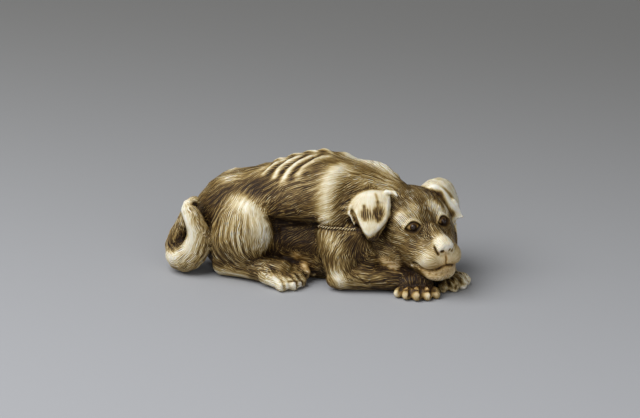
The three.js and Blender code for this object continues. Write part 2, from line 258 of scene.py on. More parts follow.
def piece_from(net, name):
    """Turns a bmesh into an object of the scene."""
    mesh = bpy.data.meshes.new(name)
    net.to_mesh(mesh)
    net.free()
    piece = bpy.data.objects.new(name, mesh)
    bpy.context.scene.collection.objects.link(piece)
    return piece


def skin_of(node):
    """The solid, the leaf and the clay as one piece, with a remesh still to be applied."""
    net = bmesh.new()
    net.from_mesh(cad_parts[node].data)
    bmesh.ops.remove_doubles(net, verts=net.verts, dist=SAME_POINT)
    bmesh.ops.scale(net, vec=(1 / MM,) * 3, verts=net.verts)
    bmesh.ops.translate(net, vec=Vector(layout), verts=net.verts)
    for vert in net.verts:
        vert.co = Vector(press_back(np.array(vert.co)))
    add_leaf(net)
    for point, radius in CLAY:
        bmesh.ops.create_icosphere(net, subdivisions=2, radius=radius, matrix=Matrix.Translation(point))
    piece = piece_from(net, "carved_puppy")
    remesh = piece.modifiers.new("even skin", "REMESH")
    remesh.mode = "VOXEL"
    remesh.voxel_size = VOXEL
    remesh.adaptivity = 0
    return piece


def apply_modifiers(piece):
    graph = bpy.context.evaluated_depsgraph_get()
    made = bpy.data.meshes.new_from_object(piece.evaluated_get(graph))
    piece.modifiers.clear()
    piece.data = made


puppy = skin_of("ivory_puppy")
apply_modifiers(puppy)
print("skin:", len(puppy.data.vertices), "points,", len(puppy.data.polygons), "squares")

# %% [markdown]
# Moving points one by one in Python is slow. Read into arrays, with the list of which points are neighbours,
# the whole skin can be moved at once, and a point can be compared with what lies round it.


# %% Points and neighbours as arrays
def read_net():
    """Takes the net's points and their neighbours into arrays."""
    global place, from_point, to_point, neighbours
    mesh = puppy.data
    flat = np.empty(len(mesh.vertices) * 3)
    mesh.vertices.foreach_get("co", flat)
    place = flat.reshape(-1, 3)
    pairs = np.empty(len(mesh.edges) * 2, int)
    mesh.edges.foreach_get("vertices", pairs)
    pairs = pairs.reshape(-1, 2)
    from_point = np.concatenate([pairs[:, 0], pairs[:, 1]])
    to_point = np.concatenate([pairs[:, 1], pairs[:, 0]])
    neighbours = np.bincount(from_point, minlength=len(place)).clip(1)


def spread(values):
    """Each point's value becomes the mean of its neighbours' values."""
    if values.ndim == 1:
        return np.bincount(from_point, values[to_point], len(place)) / neighbours
    return np.stack([spread(column) for column in values.T], 1)


def blur(values, rounds):
    for _ in range(rounds):
        values = 0.5 * values + 0.5 * spread(values)
    return values


def write_place():
    puppy.data.vertices.foreach_set("co", place.ravel())
    puppy.data.update()


def refresh():
    """Writes the points back and reads which way the skin faces now."""
    global normal
    write_place()
    flat = np.empty(len(place) * 3, np.float32)
    puppy.data.vertex_normals.foreach_get("vector", flat)
    normal = flat.reshape(-1, 3).astype(float)


read_net()
print("arrays:", len(place), "points,", len(from_point), "links")

# %% [markdown]
# The skin still shows the flats of the solid. A plain smoothing would melt them but also shrink the puppy.
# Here each step in is followed by a slightly longer step out, so only what is shorter than a chosen
# wavelength goes. To choose where, each form of the puppy is described by a thick line, and every point of
# the skin belongs to the line that it is nearest to.

# %% A smoothing that doesn't shrink
STEP_IN = 0.55


def smooth(points, rounds, amount=1.0, recover=1.03):
    """Steps in towards the neighbours' middle, then out again by `recover` times as much."""
    weight = np.broadcast_to(amount, len(points))[:, None]
    for _ in range(rounds):
        points = points + STEP_IN * weight * (spread(points) - points)
        points = points - STEP_IN * recover * weight * (spread(points) - points)
    return points


# %% Thick lines
def tube(*stops):
    """Thick line through (point, radius) stops."""
    return [(np.array(point, float), radius) for point, radius in stops]


def line(points):
    return tube(*((point, 0) for point in points))


def reach(points, stops):
    """How far points are from a thick line's surface, how far along it they lie, and its heading there."""
    best = np.full(len(points), 1e9)
    along = np.zeros(len(points))
    heading = np.zeros((len(points), 3))
    count = max(1, len(stops) - 1)
    for i in range(count):
        (a, ra), (b, rb) = stops[i], stops[min(i + 1, len(stops) - 1)]
        step = b - a
        t = np.clip((points - a) @ step / max(step @ step, 1e-9), 0, 1)
        gap = np.linalg.norm(points - a - t[:, None] * step, axis=1) - (ra + t * (rb - ra))
        nearer = gap < best
        best[nearer] = gap[nearer]
        along[nearer] = (i + t[nearer]) / count
        heading[nearer] = step / max(np.linalg.norm(step), 1e-9)
    return best, along, heading


def glow(width, points):
    """1 on a line, fading away from it over about `width`."""
    gap, _, _ = reach(place, line(points))
    return np.exp(-((gap / width) ** 2))


# %% Name the forms
forms = {
    "torso": tube(((8, 8.8, 12.5), 6.8), ((0, 8, 13.5), 8.8), ((-12, 8, 11.5), 7), ((-21, 8, 10.5), 6)),
    "tail": tube(((-23.5, 7.2, 9.6), 2.4), ((-26.4, 4.4, 6.8), 2.5), ((-27.4, 1.2, 3.6), 2.4),
                 ((-25.6, -0.6, 2.6), 2.5), ((-23.2, -1, 4.6), 2.7), ((-22.2, -1, 7.8), 2.4),
                 ((-23.3, -0.8, 11.2), 1.8), ((-24.5, 0.2, 13.1), 1.3), ((-23.3, 1.4, 13.7), 1)),
    "head": tube((head(4.4, 0, -5), 3.9), (head(0, 0, -4.2), 5.1), (head(-5, 0, -2), 7),
                 (head(-11, 0, -1), 6.3)),
    "right_forearm": tube(((5, -0.6, 2.6), 2.7), ((10.5, 0.3, 2.4), 2.4), ((17.4, 2.4, 2), 2.4),
                          ((18.9, -2, 1.6), 2)),
    "left_forearm": tube(((5.4, 16.6, 2.6), 2.7), ((13, 14, 2.7), 2.5), ((20, 8.6, 2.5), 2.5),
                         ((25.2, 4.4, 1.4), 2)),
    "right_hind_foot": tube(((-18.4, 0.4, 2.3), 2.2), ((-9, -1, 2.2), 2.5), ((-4, -2, 1.4), 2)),
    "left_hind_foot": tube(((-14, 6, 3), 2.3), ((-7, 3.8, 3.2), 2.4), ((-3, 2.2, 2.4), 2)),
}
leaf_line = on_leaf((-1.2, -1.4), (-1.2, -3.4), (-0.9, -5.4), (-1.2, -8.0))
forms["right_ear"] = tube(*zip(leaf_line, (1.9, 2.6, 2.0, 0.7)))
for hand, flank in zip(("right", "left"), FLANKS):
    thigh_line = flank((-14.6, 7, 11.5), (-14.4, 6.8, 8))
    arm_line = flank((2.8, 6.6, 10.6), (4.2, 7.6, 7.6), (4.6, 8.5, 3.4))
    forms[hand + "_haunch"] = tube(*zip(thigh_line, (5, 5.6)))
    forms[hand + "_upper_arm"] = tube(*zip(arm_line, (3.3, 3.7, 3)))

FAR_EAR_ROOT = np.array([-6.4, 7.3, 4.9])
FAR_EAR_OUT = np.array([0.866, 0.5, 0])
far_ear_stops = [((-3.2, -0.8), 2), ((-1.5, 0), 2.4), ((1.3, -2.6), 2.6), ((2.5, -4.8), 2), ((3.6, -7), 1)]
forms["left_ear"] = tube(*((head(*(FAR_EAR_ROOT + out * FAR_EAR_OUT + (0, 0, high))), radius)
                           for (out, high), radius in far_ear_stops))
hook_line = on_leaf((2.0, -0.5, 0.1), (2.9, -0.5, 0.2), (3.75, -1.3, 0.4))
forms["ear_hook"] = tube(*zip(hook_line, (0.5, 0.6, 0.5)))
names = list(forms)
print("forms:", ", ".join(names))


# %% Find each point's form
def measure_forms():
    """How far each point is from each form, and the heading of its own form."""
    global gaps, region, form_heading
    found = [reach(place, forms[name]) for name in names]
    gaps = np.array([gap for gap, _, _ in found])
    region = gaps.argmin(0)
    form_heading = np.array([heading for _, _, heading in found])[region, np.arange(len(place))]


def part_of(*wanted, soft=0.6):
    """1 on the named forms, falling to 0 over `soft` millimetres past them."""
    mine = np.min([gaps[names.index(name)] for name in wanted], 0)
    rest = np.min([gaps[i] for i, name in enumerate(names) if name not in wanted], 0)
    return np.clip(0.5 + (rest - mine) / (2 * soft), 0, 1)


measure_forms()
for i, name in enumerate(names):
    print(f"  {name}: {np.count_nonzero(region == i)} points")

# %% Smooth the large forms, then everything a little
SMALL = ("tail", "left_ear", "right_ear", "ear_hook", "left_forearm", "right_hind_foot", "left_hind_foot")
before = place
place = smooth(place, 12)
place = smooth(place, 100, 1 - part_of(*SMALL, soft=0.8))
place = smooth(place, 30, part_of("right_ear", "left_ear", "tail", "right_hind_foot", soft=0.5))
moved = np.linalg.norm(place - before, axis=1)
print("smoothing moved the skin", moved.mean().round(2), "mm on average")

# %% [markdown]
# A face needs more points than a flank. The net is thinned only where the fur's relief comes from the
# material, so that head, ears, paws, tail and ribs keep their close net.

# %% Thin the net on the flanks
MOST_TRIANGLES = 197000
LEVELS = 10
write_place()
keep = part_of(*SMALL, "head", "right_forearm", soft=1.5)
near_flank, far_flank = FLANKS
ribs_line = ((-9, 3, 20), (0.5, 3.4, 22))
close_work = [tube(*zip(near_flank(*ribs_line), (2.2, 2.2))), tube(*zip(far_flank(*ribs_line), (1.8, 1.8))),
              tube(((-8.5, 1.4, 10.2), 0.7), ((1, -0.7, 11.8), 0.9), ((7.4, 0, 11.8), 0.9))]
for crowded in close_work:
    keep = np.maximum(keep, np.clip(1 - reach(place, crowded)[0], 0, 1))
group = puppy.vertex_groups.new(name="may_thin")
for level in range(LEVELS + 1):
    chosen = np.flatnonzero(np.round((1 - keep) * LEVELS) == level)
    group.add(chosen.tolist(), 0.1 + 0.09 * level, "REPLACE")
triangles = 2 * len(puppy.data.polygons)
thin = puppy.modifiers.new("thin", "DECIMATE")
thin.decimate_type = "COLLAPSE"
thin.ratio = MOST_TRIANGLES / triangles
thin.vertex_group = "may_thin"
thin.use_collapse_triangulate = True
apply_modifiers(puppy)
puppy.vertex_groups.clear()
read_net()
measure_forms()
print("net:", triangles, "triangles thinned to", len(puppy.data.polygons))

# %% [markdown]
# From here on the puppy is carved. A cut pushes the skin in along a line, a ridge lifts it, and both fade at
# their ends as a real tool's stroke does. A melt runs forms into each other, as a file and a rub would.


# %% Carving tools
def fade(t, ends):
    """1 along a stroke, easing to 0 at its ends."""
    start = np.clip(t / max(ends[0], 1e-6), 0, 1)
    stop = np.clip((1 - t) / max(ends[1], 1e-6), 0, 1)
    return (start * start * (3 - 2 * start)) * (stop * stop * (3 - 2 * stop))


def ridge(height, width, points, on=1.0, ends=(0.25, 0.25)):
    """Lifts the skin along a line; a negative height cuts it."""
    global place
    gap, t, _ = reach(place, line(points))
    place = place + (height * np.exp(-((gap / width) ** 2)) * fade(t, ends) * on)[:, None] * normal


def cut(depth, width, points, on=1.0, ends=(0.2, 0.2)):
    ridge(-depth, width, points, on=on, ends=ends)


def dab(height, width, points, on=1.0):
    """Lifts the skin evenly round points, with no fading ends."""
    ridge(height, width, points, on=on, ends=(0, 0))


def engrave(depth, width, points, on=1.0, ends=(0.1, 0.1), tone=1.0):
    """A narrow cut exactly on the skin, which remembers where it went so that stain can settle in it."""
    global place, grooves
    touching = [place[((place - point) ** 2).sum(1).argmin()] for point in points]
    gap, t, _ = reach(place, line(touching))
    stroke = np.exp(-((gap / width) ** 2)) * fade(t, ends) * on
    place = place - (depth * stroke)[:, None] * normal
    grooves = np.maximum(grooves, np.clip(1.6 * stroke, 0, 1) * tone)


def pull(move, width, points, on=1.0):
    """Pushes the skin bodily along `move`."""
    global place
    place = place + (glow(width, points) * on)[:, None] * np.array(move)


def melt(rounds, width, points, on=1.0, recover=0.4):
    """Runs forms into each other round a line."""
    global place
    place = smooth(place, rounds, glow(width, points) * on, recover)


refresh()
grooves = np.zeros(len(place))
print("tools: ridge, cut, dab, engrave, pull and melt")


# %% Mark off the head and the ears
LEAF_SOFT = 0.25
LEAF_DEPTH = 0.95


def leaf_mask():
    """1 on the near ear's leaf, 0 on the neck behind it."""
    over, up, lift = from_leaf(place)
    spokes = np.stack([over, up], 1) - LEAF_MIDDLE
    edge = leaf_radius(np.arctan2(spokes[:, 1], spokes[:, 0])) + LEAF_SOFT - np.hypot(*spokes.T)
    above = lift - leaf_lift(over, up) + LEAF_DEPTH
    return np.clip(np.minimum(edge, above) / LEAF_SOFT + 0.5, 0, 1) * (lift < 3)


on_head = part_of("head", soft=0.4)
on_left_ear = part_of("left_ear", soft=0.3)
on_right_ear = leaf_mask()
off_ears = 1 - np.maximum(on_right_ear, part_of("left_ear", soft=0.5))
print("ears:", np.count_nonzero(off_ears < 0.5), "points")

# %% [markdown]
# The puppy is thin, as netsuke dogs often are: ribs, spine, hip bones and shoulder blades press through the
# coat. Each rib leaves its vertebra and sweeps back and down the flank. The solid's own lumps are melted
# first, so that what is carved afterwards lies on a quiet surface.

# %% Quieten the back
for flank in FLANKS:
    melt(30, 3.4, flank((3.2, 4, 21), (2.4, 7.8, 18), (2.6, 9, 13.5)), on=off_ears)
    melt(24, 2.4, flank((2.5, 9.4, 12), (5, 9, 11.5)), on=off_ears)
refresh()
VERTEBRAE = [(3.1, 22.3), (0.9, 23.0), (-1.5, 23.0), (-3.8, 22.9), (-6.1, 22.4), (-8.3, 21.6), (-10.5, 20.9),
             (-12.6, 19.9), (-14.6, 19.1)]
melt(50, 1.2, [(x, SPINE, z) for x, z in VERTEBRAE], recover=0.97)
for flank in FLANKS:
    melt(40, 2.2, flank((-12, 2.5, 19.2), (-6, 3.5, 21), (0, 4, 22)))
    melt(40, 1.8, flank((-7, 5.5, 19.5), (-2, 6, 20.5)))
melt(30, 2.8, [(5, 10.8, 21), (9, 10.8, 20.4), (11.2, 10.8, 19.2)], on=off_ears, recover=0.97)
refresh()
melt(60, 2.8, [(-23.4, 8, 14.0), (-21.2, 8, 16.2), (-19.4, 8, 17.0)], on=1 - part_of("tail", soft=0.5),
     recover=0.99)
refresh()
print("back melted along", len(VERTEBRAE), "vertebrae")

# %% Ribs and spine
RIBS = [  # how high each stands, and its stations as x, distance from the spine, z
    (0.20, [(-11.3, 0.9, 19.9), (-11.9, 1.5, 19.6), (-12.5, 2.0, 19.2), (-13.1, 2.5, 18.7),
            (-13.7, 3.1, 18.1)]),
    (0.32, [(-8.3, 0.4, 21.2), (-9.3, 1.0, 20.8), (-10.1, 1.7, 20.4), (-10.8, 2.5, 19.9),
            (-11.6, 3.3, 19.1)]),
    (0.44, [(-5.4, 0.5, 22.2), (-6.3, 1.6, 21.9), (-7.5, 2.6, 21.4), (-8.5, 3.6, 20.6), (-8.9, 4.9, 19.2)]),
    (0.46, [(-2.4, 0.8, 22.7), (-3.7, 2.3, 22.4), (-5.1, 3.4, 21.9), (-6.2, 4.6, 20.9), (-7.1, 6.3, 18.7)]),
    (0.38, [(0.3, 1.1, 22.9), (-0.9, 2.4, 22.5), (-2.3, 3.5, 22.1), (-3.6, 4.6, 21.3), (-4.3, 6.0, 19.9)]),
]
RIB_WIDTH = 0.68


def rib_gaps(flank):
    """The lines that run half way between one rib and the next."""
    ribs = [flank(*stations) for _, stations in RIBS]
    return [[(a + b) / 2 for a, b in zip(one, other)] for one, other in zip(ribs, ribs[1:])]


for flank in FLANKS:
    for height, stations in RIBS:
        ridge(height, RIB_WIDTH, flank(*stations), on=off_ears, ends=(0.45, 0.3))
    for between in rib_gaps(flank):
        cut(0.30, 0.45, between, on=off_ears, ends=(0.45, 0.35))
for (x, z), (ahead, _) in zip(VERTEBRAE[1:], VERTEBRAE):
    dab(0.05, 0.75, [(x, SPINE - 0.5, z), (x, SPINE + 0.5, z)])
    middle = (x + ahead) / 2
    joint = [(middle, SPINE - 1.2, z - 0.1), (middle + 0.25, SPINE, z), (middle, SPINE + 1.2, z - 0.1)]
    cut(0.08, 0.4, joint)
print("ribs:", len(RIBS), "a side, in", RIB_WIDTH, "mm strokes")

# %% Hips and shoulder blades
for flank in FLANKS:
    dab(0.35, 1.5, flank((-18.6, 2.2, 17.3), (-17.6, 3.0, 17.4)))
    blade = flank((3.0, 2.6, 22.0), (2.2, 4.6, 20.8), (1.6, 6.8, 18.9), (1.5, 8.3, 17), (2.0, 9.2, 14.5),
                  (2.5, 9.3, 12.6))
    crease = flank((5.2, 4.2, 20.6), (5.0, 6.1, 19.2), (4.7, 7.6, 17.2), (4.6, 8.4, 15.2), (4.9, 8.6, 13.2))
    ridge(0.55, 1.9, blade, on=off_ears, ends=(0.15, 0.1))
    cut(0.55, 0.75, crease, on=off_ears)
refresh()
print("back carved")

# %% [markdown]
# The thigh is one swelling that runs into the rump behind and the shank below, and stands clear only at the
# knee. Softening the first two seams and deepening the third makes a haunch from what was a ball.

# %% Haunches
for flank in FLANKS:
    melt(60, 2.4, flank((-20.2, 6.6, 11), (-19.0, 6.2, 14.6), (-16.2, 6.4, 15.6)), on=1 - part_of("tail"))
    melt(50, 1.8, flank((-17.8, 8.6, 4.2), (-14.6, 9.2, 4.6), (-11.6, 8.6, 4.6)))
refresh()
KNEE_LINE = [(-16.2, 6.6, 16.2), (-13.2, 6.9, 16.1), (-11.0, 7.3, 15.2), (-9.2, 7.5, 13.6), (-8.1, 7.0, 11.2),
             (-7.9, 6.4, 7.2), (-9.0, 6.8, 4.9)]
for flank in FLANKS:
    dab(0.3, 2.2, flank((-11.2, 8.8, 12.2), (-10.2, 9, 9.2)))
    dab(0.4, 1.3, flank((-15.2, 7.4, 15.0), (-12.8, 7.9, 14.8), (-10.8, 8.6, 13.4)))
    cut(0.5, 0.6, flank(*KNEE_LINE), ends=(0.3, 0.2))
refresh()
print("haunches carved")

# %% Hind toes
TOE_GAP, NAIL_LINE = 0.25, 0.17
HIND_TOES = part_of("right_hind_foot", soft=0.3)
melt(5, 2.6, [(-5.5, -4.3, 2), (-3, -3.2, 1.5)], on=HIND_TOES)
refresh()
HIND_GAPS = [
    [(-8.0, -3.1, 3.7), (-7.1, -3.7, 3.3), (-5.75, -4.7, 2.55), (-4.75, -5.5, 1.8), (-4.5, -5.7, 0.9),
     (-4.5, -5.2, 0.1)],
    [(-4.8, -3.2, 3.0), (-3.4, -3.9, 2.35), (-2.6, -4.25, 1.4), (-2.6, -4, 0.4)],
    [(-3.4, -2.4, 2.6), (-2.4, -2.8, 1.9), (-2.0, -2.9, 0.8)],
]
HIND_NAILS = [[(-6.0, -5.6, 2.0), (-4.75, -5.35, 2.05)], [(-4.1, -4.7, 1.95), (-2.8, -4.15, 1.9)],
              [(-2.6, -3.9, 1.85), (-1.9, -2.6, 1.75)]]


def carve_toes(paw, gap_lines, nails, depth, width, fade_in):
    """Cuts the gaps between toes, and the line where each nail leaves its toe."""
    for gap_line in gap_lines:
        cut(depth, width, gap_line, on=paw, ends=(fade_in, 0.05))
    for nail in nails:
        cut(0.26, NAIL_LINE, nail, on=paw)


carve_toes(HIND_TOES, HIND_GAPS, HIND_NAILS, 0.55, 0.3, 0.3)
refresh()
print("hind toes:", len(HIND_GAPS), "gaps,", len(HIND_NAILS), "nails")

# %% [markdown]
# The tail is a flat brush curled round its own edge: the outside is a broad polished band, the inside a
# hollow that is painted dark as shade, and the tip a small hook.

# %% Tail
ON_TAIL = part_of("tail", soft=0.4)
BAND = [(-24.6, 0.2, 13.6), (-25.2, -0.5, 12.6), (-24.2, -1.8, 11.1), (-23.2, -2.3, 9.4), (-23.1, -2.5, 7.6),
        (-23.8, -2.4, 5.8), (-25.4, -2.4, 4.2), (-27.3, -1.8, 3.1), (-28.9, -0.2, 2.8)]
TAIL_HOLLOW = [(-26.6, 2.4, 8.0), (-26.4, 1.2, 7.6), (-26.6, 0.4, 6.2), (-27.3, 0.6, 5.2)]
ridge(0.35, 1.1, BAND, on=ON_TAIL, ends=(0.1, 0.1))
melt(60, 1.6, TAIL_HOLLOW, on=ON_TAIL)
refresh()
cut(0.35, 1.0, TAIL_HOLLOW, on=ON_TAIL, ends=(0.1, 0.1))
cut(0.5, 0.55, [(-23.6, -0.2, 13.4), (-23.3, 0.6, 13.2)], on=ON_TAIL, ends=(0.1, 0.1))
refresh()
for shift in (-0.8, 0.0, 0.8):
    long_hair = [(-23.0 + shift, -2.4, 8.6), (-23.4 + shift, -2.5, 6.4),
                 (-25.0 + shift, -2.3, 3.9 + shift * 0.5), (-27.0, -1.8, 2.6 + shift)]
    cut(0.10, 0.22, long_hair, on=ON_TAIL)
refresh()
print("tail:", len(BAND), "stations on its band")

# %% [markdown]
# Where the shoulder meets the flank the skin folds, and along the fold the carver laid a twisted cord in
# relief. The fold is a cut along the flank, and its front end is widened into a bed for the cord.

# %% Fold and cord bed
for flank in FLANKS:
    cut(0.35, 0.3, flank((-8.2, 6.6, 10.1), (-7.2, 6.5, 10.4), (-3.1, 6.2, 11.3), (-0.8, 6.5, 11.5),
                         (1.0, 8.4, 11.8)))
CORD = [(-0.3, 0.3, 11.4), (1.0, -0.8, 11.6), (2.8, -1.3, 11.8), (4.8, -1.1, 11.9), (6.4, -0.7, 11.8),
        (7.5, -0.4, 11.6)]
melt(20, 0.9, CORD[:-1], on=off_ears)
refresh()
cut(0.28, 0.42, CORD, on=off_ears, ends=(0.1, 0.1))
refresh()
print("fold and bed cut")

# %% [markdown]
# The forepaws lie crossed under the chin. The near one shows five nails in a row, the far one four toes seen
# from their side. Each gap and nail is a stroke of its own, so the toes are as uneven as hand work.

# %% Arms and forepaws
for flank in FLANKS:
    dab(0.25, 1.8, flank((4.6, 11.2, 4.4)))
on_near_arm = part_of("right_upper_arm", "right_forearm")
melt(20, 2.2, [(6.4, -2.4, 9), (7.6, -1.6, 5.5), (8.4, -1.2, 3.6)], on=on_near_arm)
refresh()
NEAR_PAW = part_of("right_forearm", soft=0.3)
NEAR_GAPS = [[(16.3, -1.9, 2.2), (16.4, -3.3, 1.6), (16.3, -3.7, 0.5)],
             [(17.7, -1.8, 2.7), (18.25, -3.5, 1.75), (18.3, -4.0, 0.5)],
             [(19.4, -1.0, 2.8), (20.3, -3.3, 1.8), (20.4, -3.8, 0.5)],
             [(20.8, -0.2, 2.6), (22.0, -2.5, 1.5), (22.3, -2.9, 0.5)]]
NEAR_NAILS = [[(15.0, -2.9, 1.9), (16.0, -2.9, 1.9)], [(16.9, -3.35, 1.95), (17.9, -3.4, 2.05)],
              [(18.6, -3.25, 2.05), (20.0, -3.2, 2.1)], [(20.7, -2.95, 1.9), (21.9, -2.4, 1.85)],
              [(22.2, -1.9, 1.65), (22.9, -1.0, 1.5)]]
FAR_PAW = part_of("left_forearm", soft=0.3)
FAR_GAPS = [[(23.6, 3.0, 2.6), (24.9, 2.0, 0.6)], [(24.4, 3.6, 2.8), (25.7, 2.2, 0.6)],
            [(25.2, 4.6, 2.7), (26.9, 3.9, 0.6)], [(25.2, 6.2, 2.5), (27.2, 6.0, 0.5)]]
FAR_NAILS = [[(25.6, 2.3, 1.5), (26.9, 4.2, 1.2)], [(26.9, 4.6, 1.2), (27.1, 6.4, 0.9)]]
for paw, gap_lines, nails in ((NEAR_PAW, NEAR_GAPS, NEAR_NAILS), (FAR_PAW, FAR_GAPS, FAR_NAILS)):
    carve_toes(paw, gap_lines, nails, 0.45, TOE_GAP, 0.35)
refresh()
print("fore toes:", len(NEAR_GAPS) + len(FAR_GAPS), "gaps,", len(NEAR_NAILS) + len(FAR_NAILS), "nails")

# %% [markdown]
# The face decides whether a netsuke lives. The muzzle's lumps are first run together, then the nose, lips and
# brows are cut into one smooth mass, mirrored from one side to the other.

# %% Run the muzzle together
melt(16, 2.0, [head(0.6, 0, 1.0), head(2.6, 0, 0.2), head(4.2, 0, -0.6)], on=on_head)
for cheek in CHEEKS:
    melt(18, 1.6, cheek((2.4, 2.2, -1.4), (4.2, 2.3, -2.2)), on=on_head)
    melt(8, 2.0, cheek((5.0, 2.4, -4.4)), on=on_head)
melt(10, 1.2, [head(5.6, 0, -1.6), head(6.4, 0, -3.4)], on=on_head)
refresh()
for cheek in CHEEKS:
    melt(25, 1.2, cheek((4.4, 1.7, -2.0), (5.8, 1.7, -3.2)), on=on_head)
refresh()
for cheek, snout in zip(CHEEKS, SNOUTS):
    dab(0.35, 1.7, cheek((5.0, 2.5, -4.5)), on=on_head)
    dab(0.45, 1.5, cheek((-1.6, 3.2, 2.4)), on=on_head)
    dab(0.3, 0.7, snout((5.9, 1.05, -1.7), (6.4, 0.8, -2.2)), on=on_head)
refresh()
print("muzzle, brows and nose laid on")

# %% Cut the nose and mouth
MOUTH = [(2.0, 4.5, -5.5), (3.0, 4.15, -5.8), (4.0, 3.65, -6.35), (4.75, 2.95, -6.55), (5.7, 2.2, -6.2),
         (6.35, 1.1, -5.7), (6.5, 0, -5.4)]
NOSE_EDGE = [(4.7, 1.5, -1.2), (5.2, 1.55, -1.85), (5.75, 1.5, -2.45), (6.05, 1.4, -3.0), (6.25, 1.15, -3.25)]
NOSE_FOOT = [(6.25, 1.15, -3.25), (6.6, 0.6, -3.3), (6.8, 0, -3.25)]
NOSTRIL = [(6.3, 0.98, -2.5), (6.5, 0.7, -2.6), (6.7, 0.42, -2.55)]
LOWER_LIP = [(3.9, 3.2, -7.2), (5.2, 2.4, -7.2), (6.0, 1.2, -6.8), (6.25, 0, -6.5)]
LIP_CORNER = (1.7, 4.4, -6.3)
PHILTRUM = [head(6.75, -0.35, -2.9), head(6.8, -0.3, -4.0), head(6.6, -0.4, -5.3)]
for cheek, snout in zip(CHEEKS, SNOUTS):
    cut(0.55, 0.26, cheek(*MOUTH), on=on_head, ends=(0.1, 0))
    ridge(0.12, 0.5, cheek(*LOWER_LIP), on=on_head, ends=(0.3, 0))
    engrave(0.4, 0.15, snout(*NOSE_EDGE), on=on_head, ends=(0.4, 0.1))
    cut(0.15, 0.35, snout(*NOSE_FOOT), on=on_head, ends=(0.1, 0))
    engrave(0.4, 0.2, snout(*NOSTRIL), on=on_head)
    cut(0.12, 0.35, cheek((1.4, 1.6, -0.5), (2.8, 1.4, -0.8), (3.8, 1.3, -1.3)), on=on_head)
    dab(0.25, 0.35, cheek(LIP_CORNER), on=on_head)
engrave(0.25, 0.13, PHILTRUM, on=on_head, ends=(0.1, 0), tone=0.6)
for across_lip, front in ((-0.9, 6.2), (0.4, 6.3), (1.3, 6.0), (-1.8, 5.7), (-2.6, 5.0)):
    whisker = [head(front, across_lip, -6.7), head(front - 0.1, across_lip, -7.3)]
    engrave(0.03, 0.12, whisker, on=on_head, tone=0.3)
pull((-0.4, 0.2, 0.3), 1.0, [head(6.2, 0.6, -8.1), head(6.1, 1.5, -7.5), head(5.7, 2.2, -6.9)], on=on_head)
refresh()
print("nose, lips and mouth cut")

# %% [markdown]
# Each eye is set in its own small frame, looking along the eyeball's axis. Inside the almond of the lids the
# skin follows the eyeball, at the almond's rim it drops into a dark groove, and just outside it swells into
# lids. The bead of horn then fills the middle.

# %% Look into an eye
EYE = (-1.2, 2.8, 0.35)
EYE_OUT = radians(18)
EYEBALL = 1.5
EYE_REACH = 3.2


def almond(sideways, rise):
    """How far inside the lids a point of the eye's frame is. The outer corner is drawn out and lower."""
    u = (sideways - 0.1) / 1.5
    top = 0.9 * (1 - u ** 2) - 0.14 * u
    bottom = -0.76 * (1 - u ** 2) - 0.14 * u
    return np.minimum(np.minimum(top - rise, rise - bottom), (1 - np.abs(u)) * 1.1)


def look_into_eye(side):
    """The eye's axis, the whole skin in the eye's frame, and which of it belongs to that eye."""
    axis = head(cos(EYE_OUT), sin(EYE_OUT), 0, side) - HEAD_AT
    outward = head(-sin(EYE_OUT), cos(EYE_OUT), 0, side) - HEAD_AT
    offset = place - head(*EYE, side)
    forth, sideways, rise = offset @ axis, offset @ outward, offset[:, 2]
    off_axis = np.hypot(sideways, rise)
    near = np.clip((EYE_REACH - off_axis) / 0.8, 0, 1) * (forth > -0.6) * (on_head > 0.5)
    return axis, forth, sideways, rise, near


print("eyes at", head(*EYE, RIGHT).round(1), "and", head(*EYE, LEFT).round(1))

# %% Carve the eyes
pupils = {}
for side in (RIGHT, LEFT):
    axis, forth, sideways, rise, near = look_into_eye(side)
    pupils[side] = head(*EYE, side) + 1.1 * axis
    inside = almond(sideways, rise)
    ball = np.sqrt(np.clip(EYEBALL ** 2 - sideways ** 2 - rise ** 2, 0, None))
    rim_groove = 0.30 * np.exp(-((inside - 0.02) / 0.16) ** 2)
    goal = ball - 0.08 - rim_groove
    inner = np.clip(inside / 0.12 + 0.5, 0, 1) * near
    lid = np.exp(-((inside + 0.36) / 0.26) ** 2) * near
    upper = np.clip(0.5 + rise / 0.8, 0, 1)
    move = inner * np.clip(goal - forth, -1.2, 0.8) + (1 - inner) * lid * (0.10 + 0.32 * upper)
    place = place + move[:, None] * axis
refresh()
print("eyes carved")

# %% [markdown]
# The ears are thin flaps folded over at the root. The near one shows its smooth outside, with a curled
# corner by the crown and a second lip at its back edge. The far one shows its thick rim and the hollow
# under it, which is painted dark as shade.

# %% Ears
front_edge = on_leaf((1.9, -1.3, 0.4), (1.9, -3.4, 0.4), (1.7, -5.1, 0.4), (0.9, -6.7, 0.3))
ridge(0.16, 0.3, front_edge, on=on_right_ear)
cut(0.22, 0.9, on_leaf((0.4, -2.2, 0.8), (0.4, -5.2, 0.8)), on=on_right_ear)
LEAF_GAP = on_leaf((-4.85, -3.9), (-4.2, -5.0), (-3.6, -6.3, -0.2))
cut(0.4, 0.26, LEAF_GAP)
FAR_RIM = [(17.3, 10.9, 16.8), (18.8, 11.6, 17.1), (20.3, 11.7, 16.7), (21.0, 12.0, 15.5),
           (21.9, 12.1, 13.8), (23.0, 12.2, 12.7), (23.9, 12.6, 11.6)]
FAR_HOLLOW = [(18.0, 10.5, 16.1), (19.2, 10.8, 15.9), (20.0, 11.2, 15.5), (20.5, 11.3, 14.3),
              (21.4, 11.5, 12.9), (22.4, 11.7, 11.9)]
melt(40, 1.3, FAR_HOLLOW, on=on_left_ear)
melt(15, 1.0, FAR_RIM, on=on_left_ear)
refresh()
cut(0.45, 0.7, FAR_HOLLOW, on=on_left_ear)
ridge(0.28, 0.5, FAR_RIM, on=on_left_ear)
cut(0.7, 1.4, [(24.0, 14.2, 13.4), (24.8, 13.6, 11.0)], on=on_left_ear, ends=(0.3, 0.1))
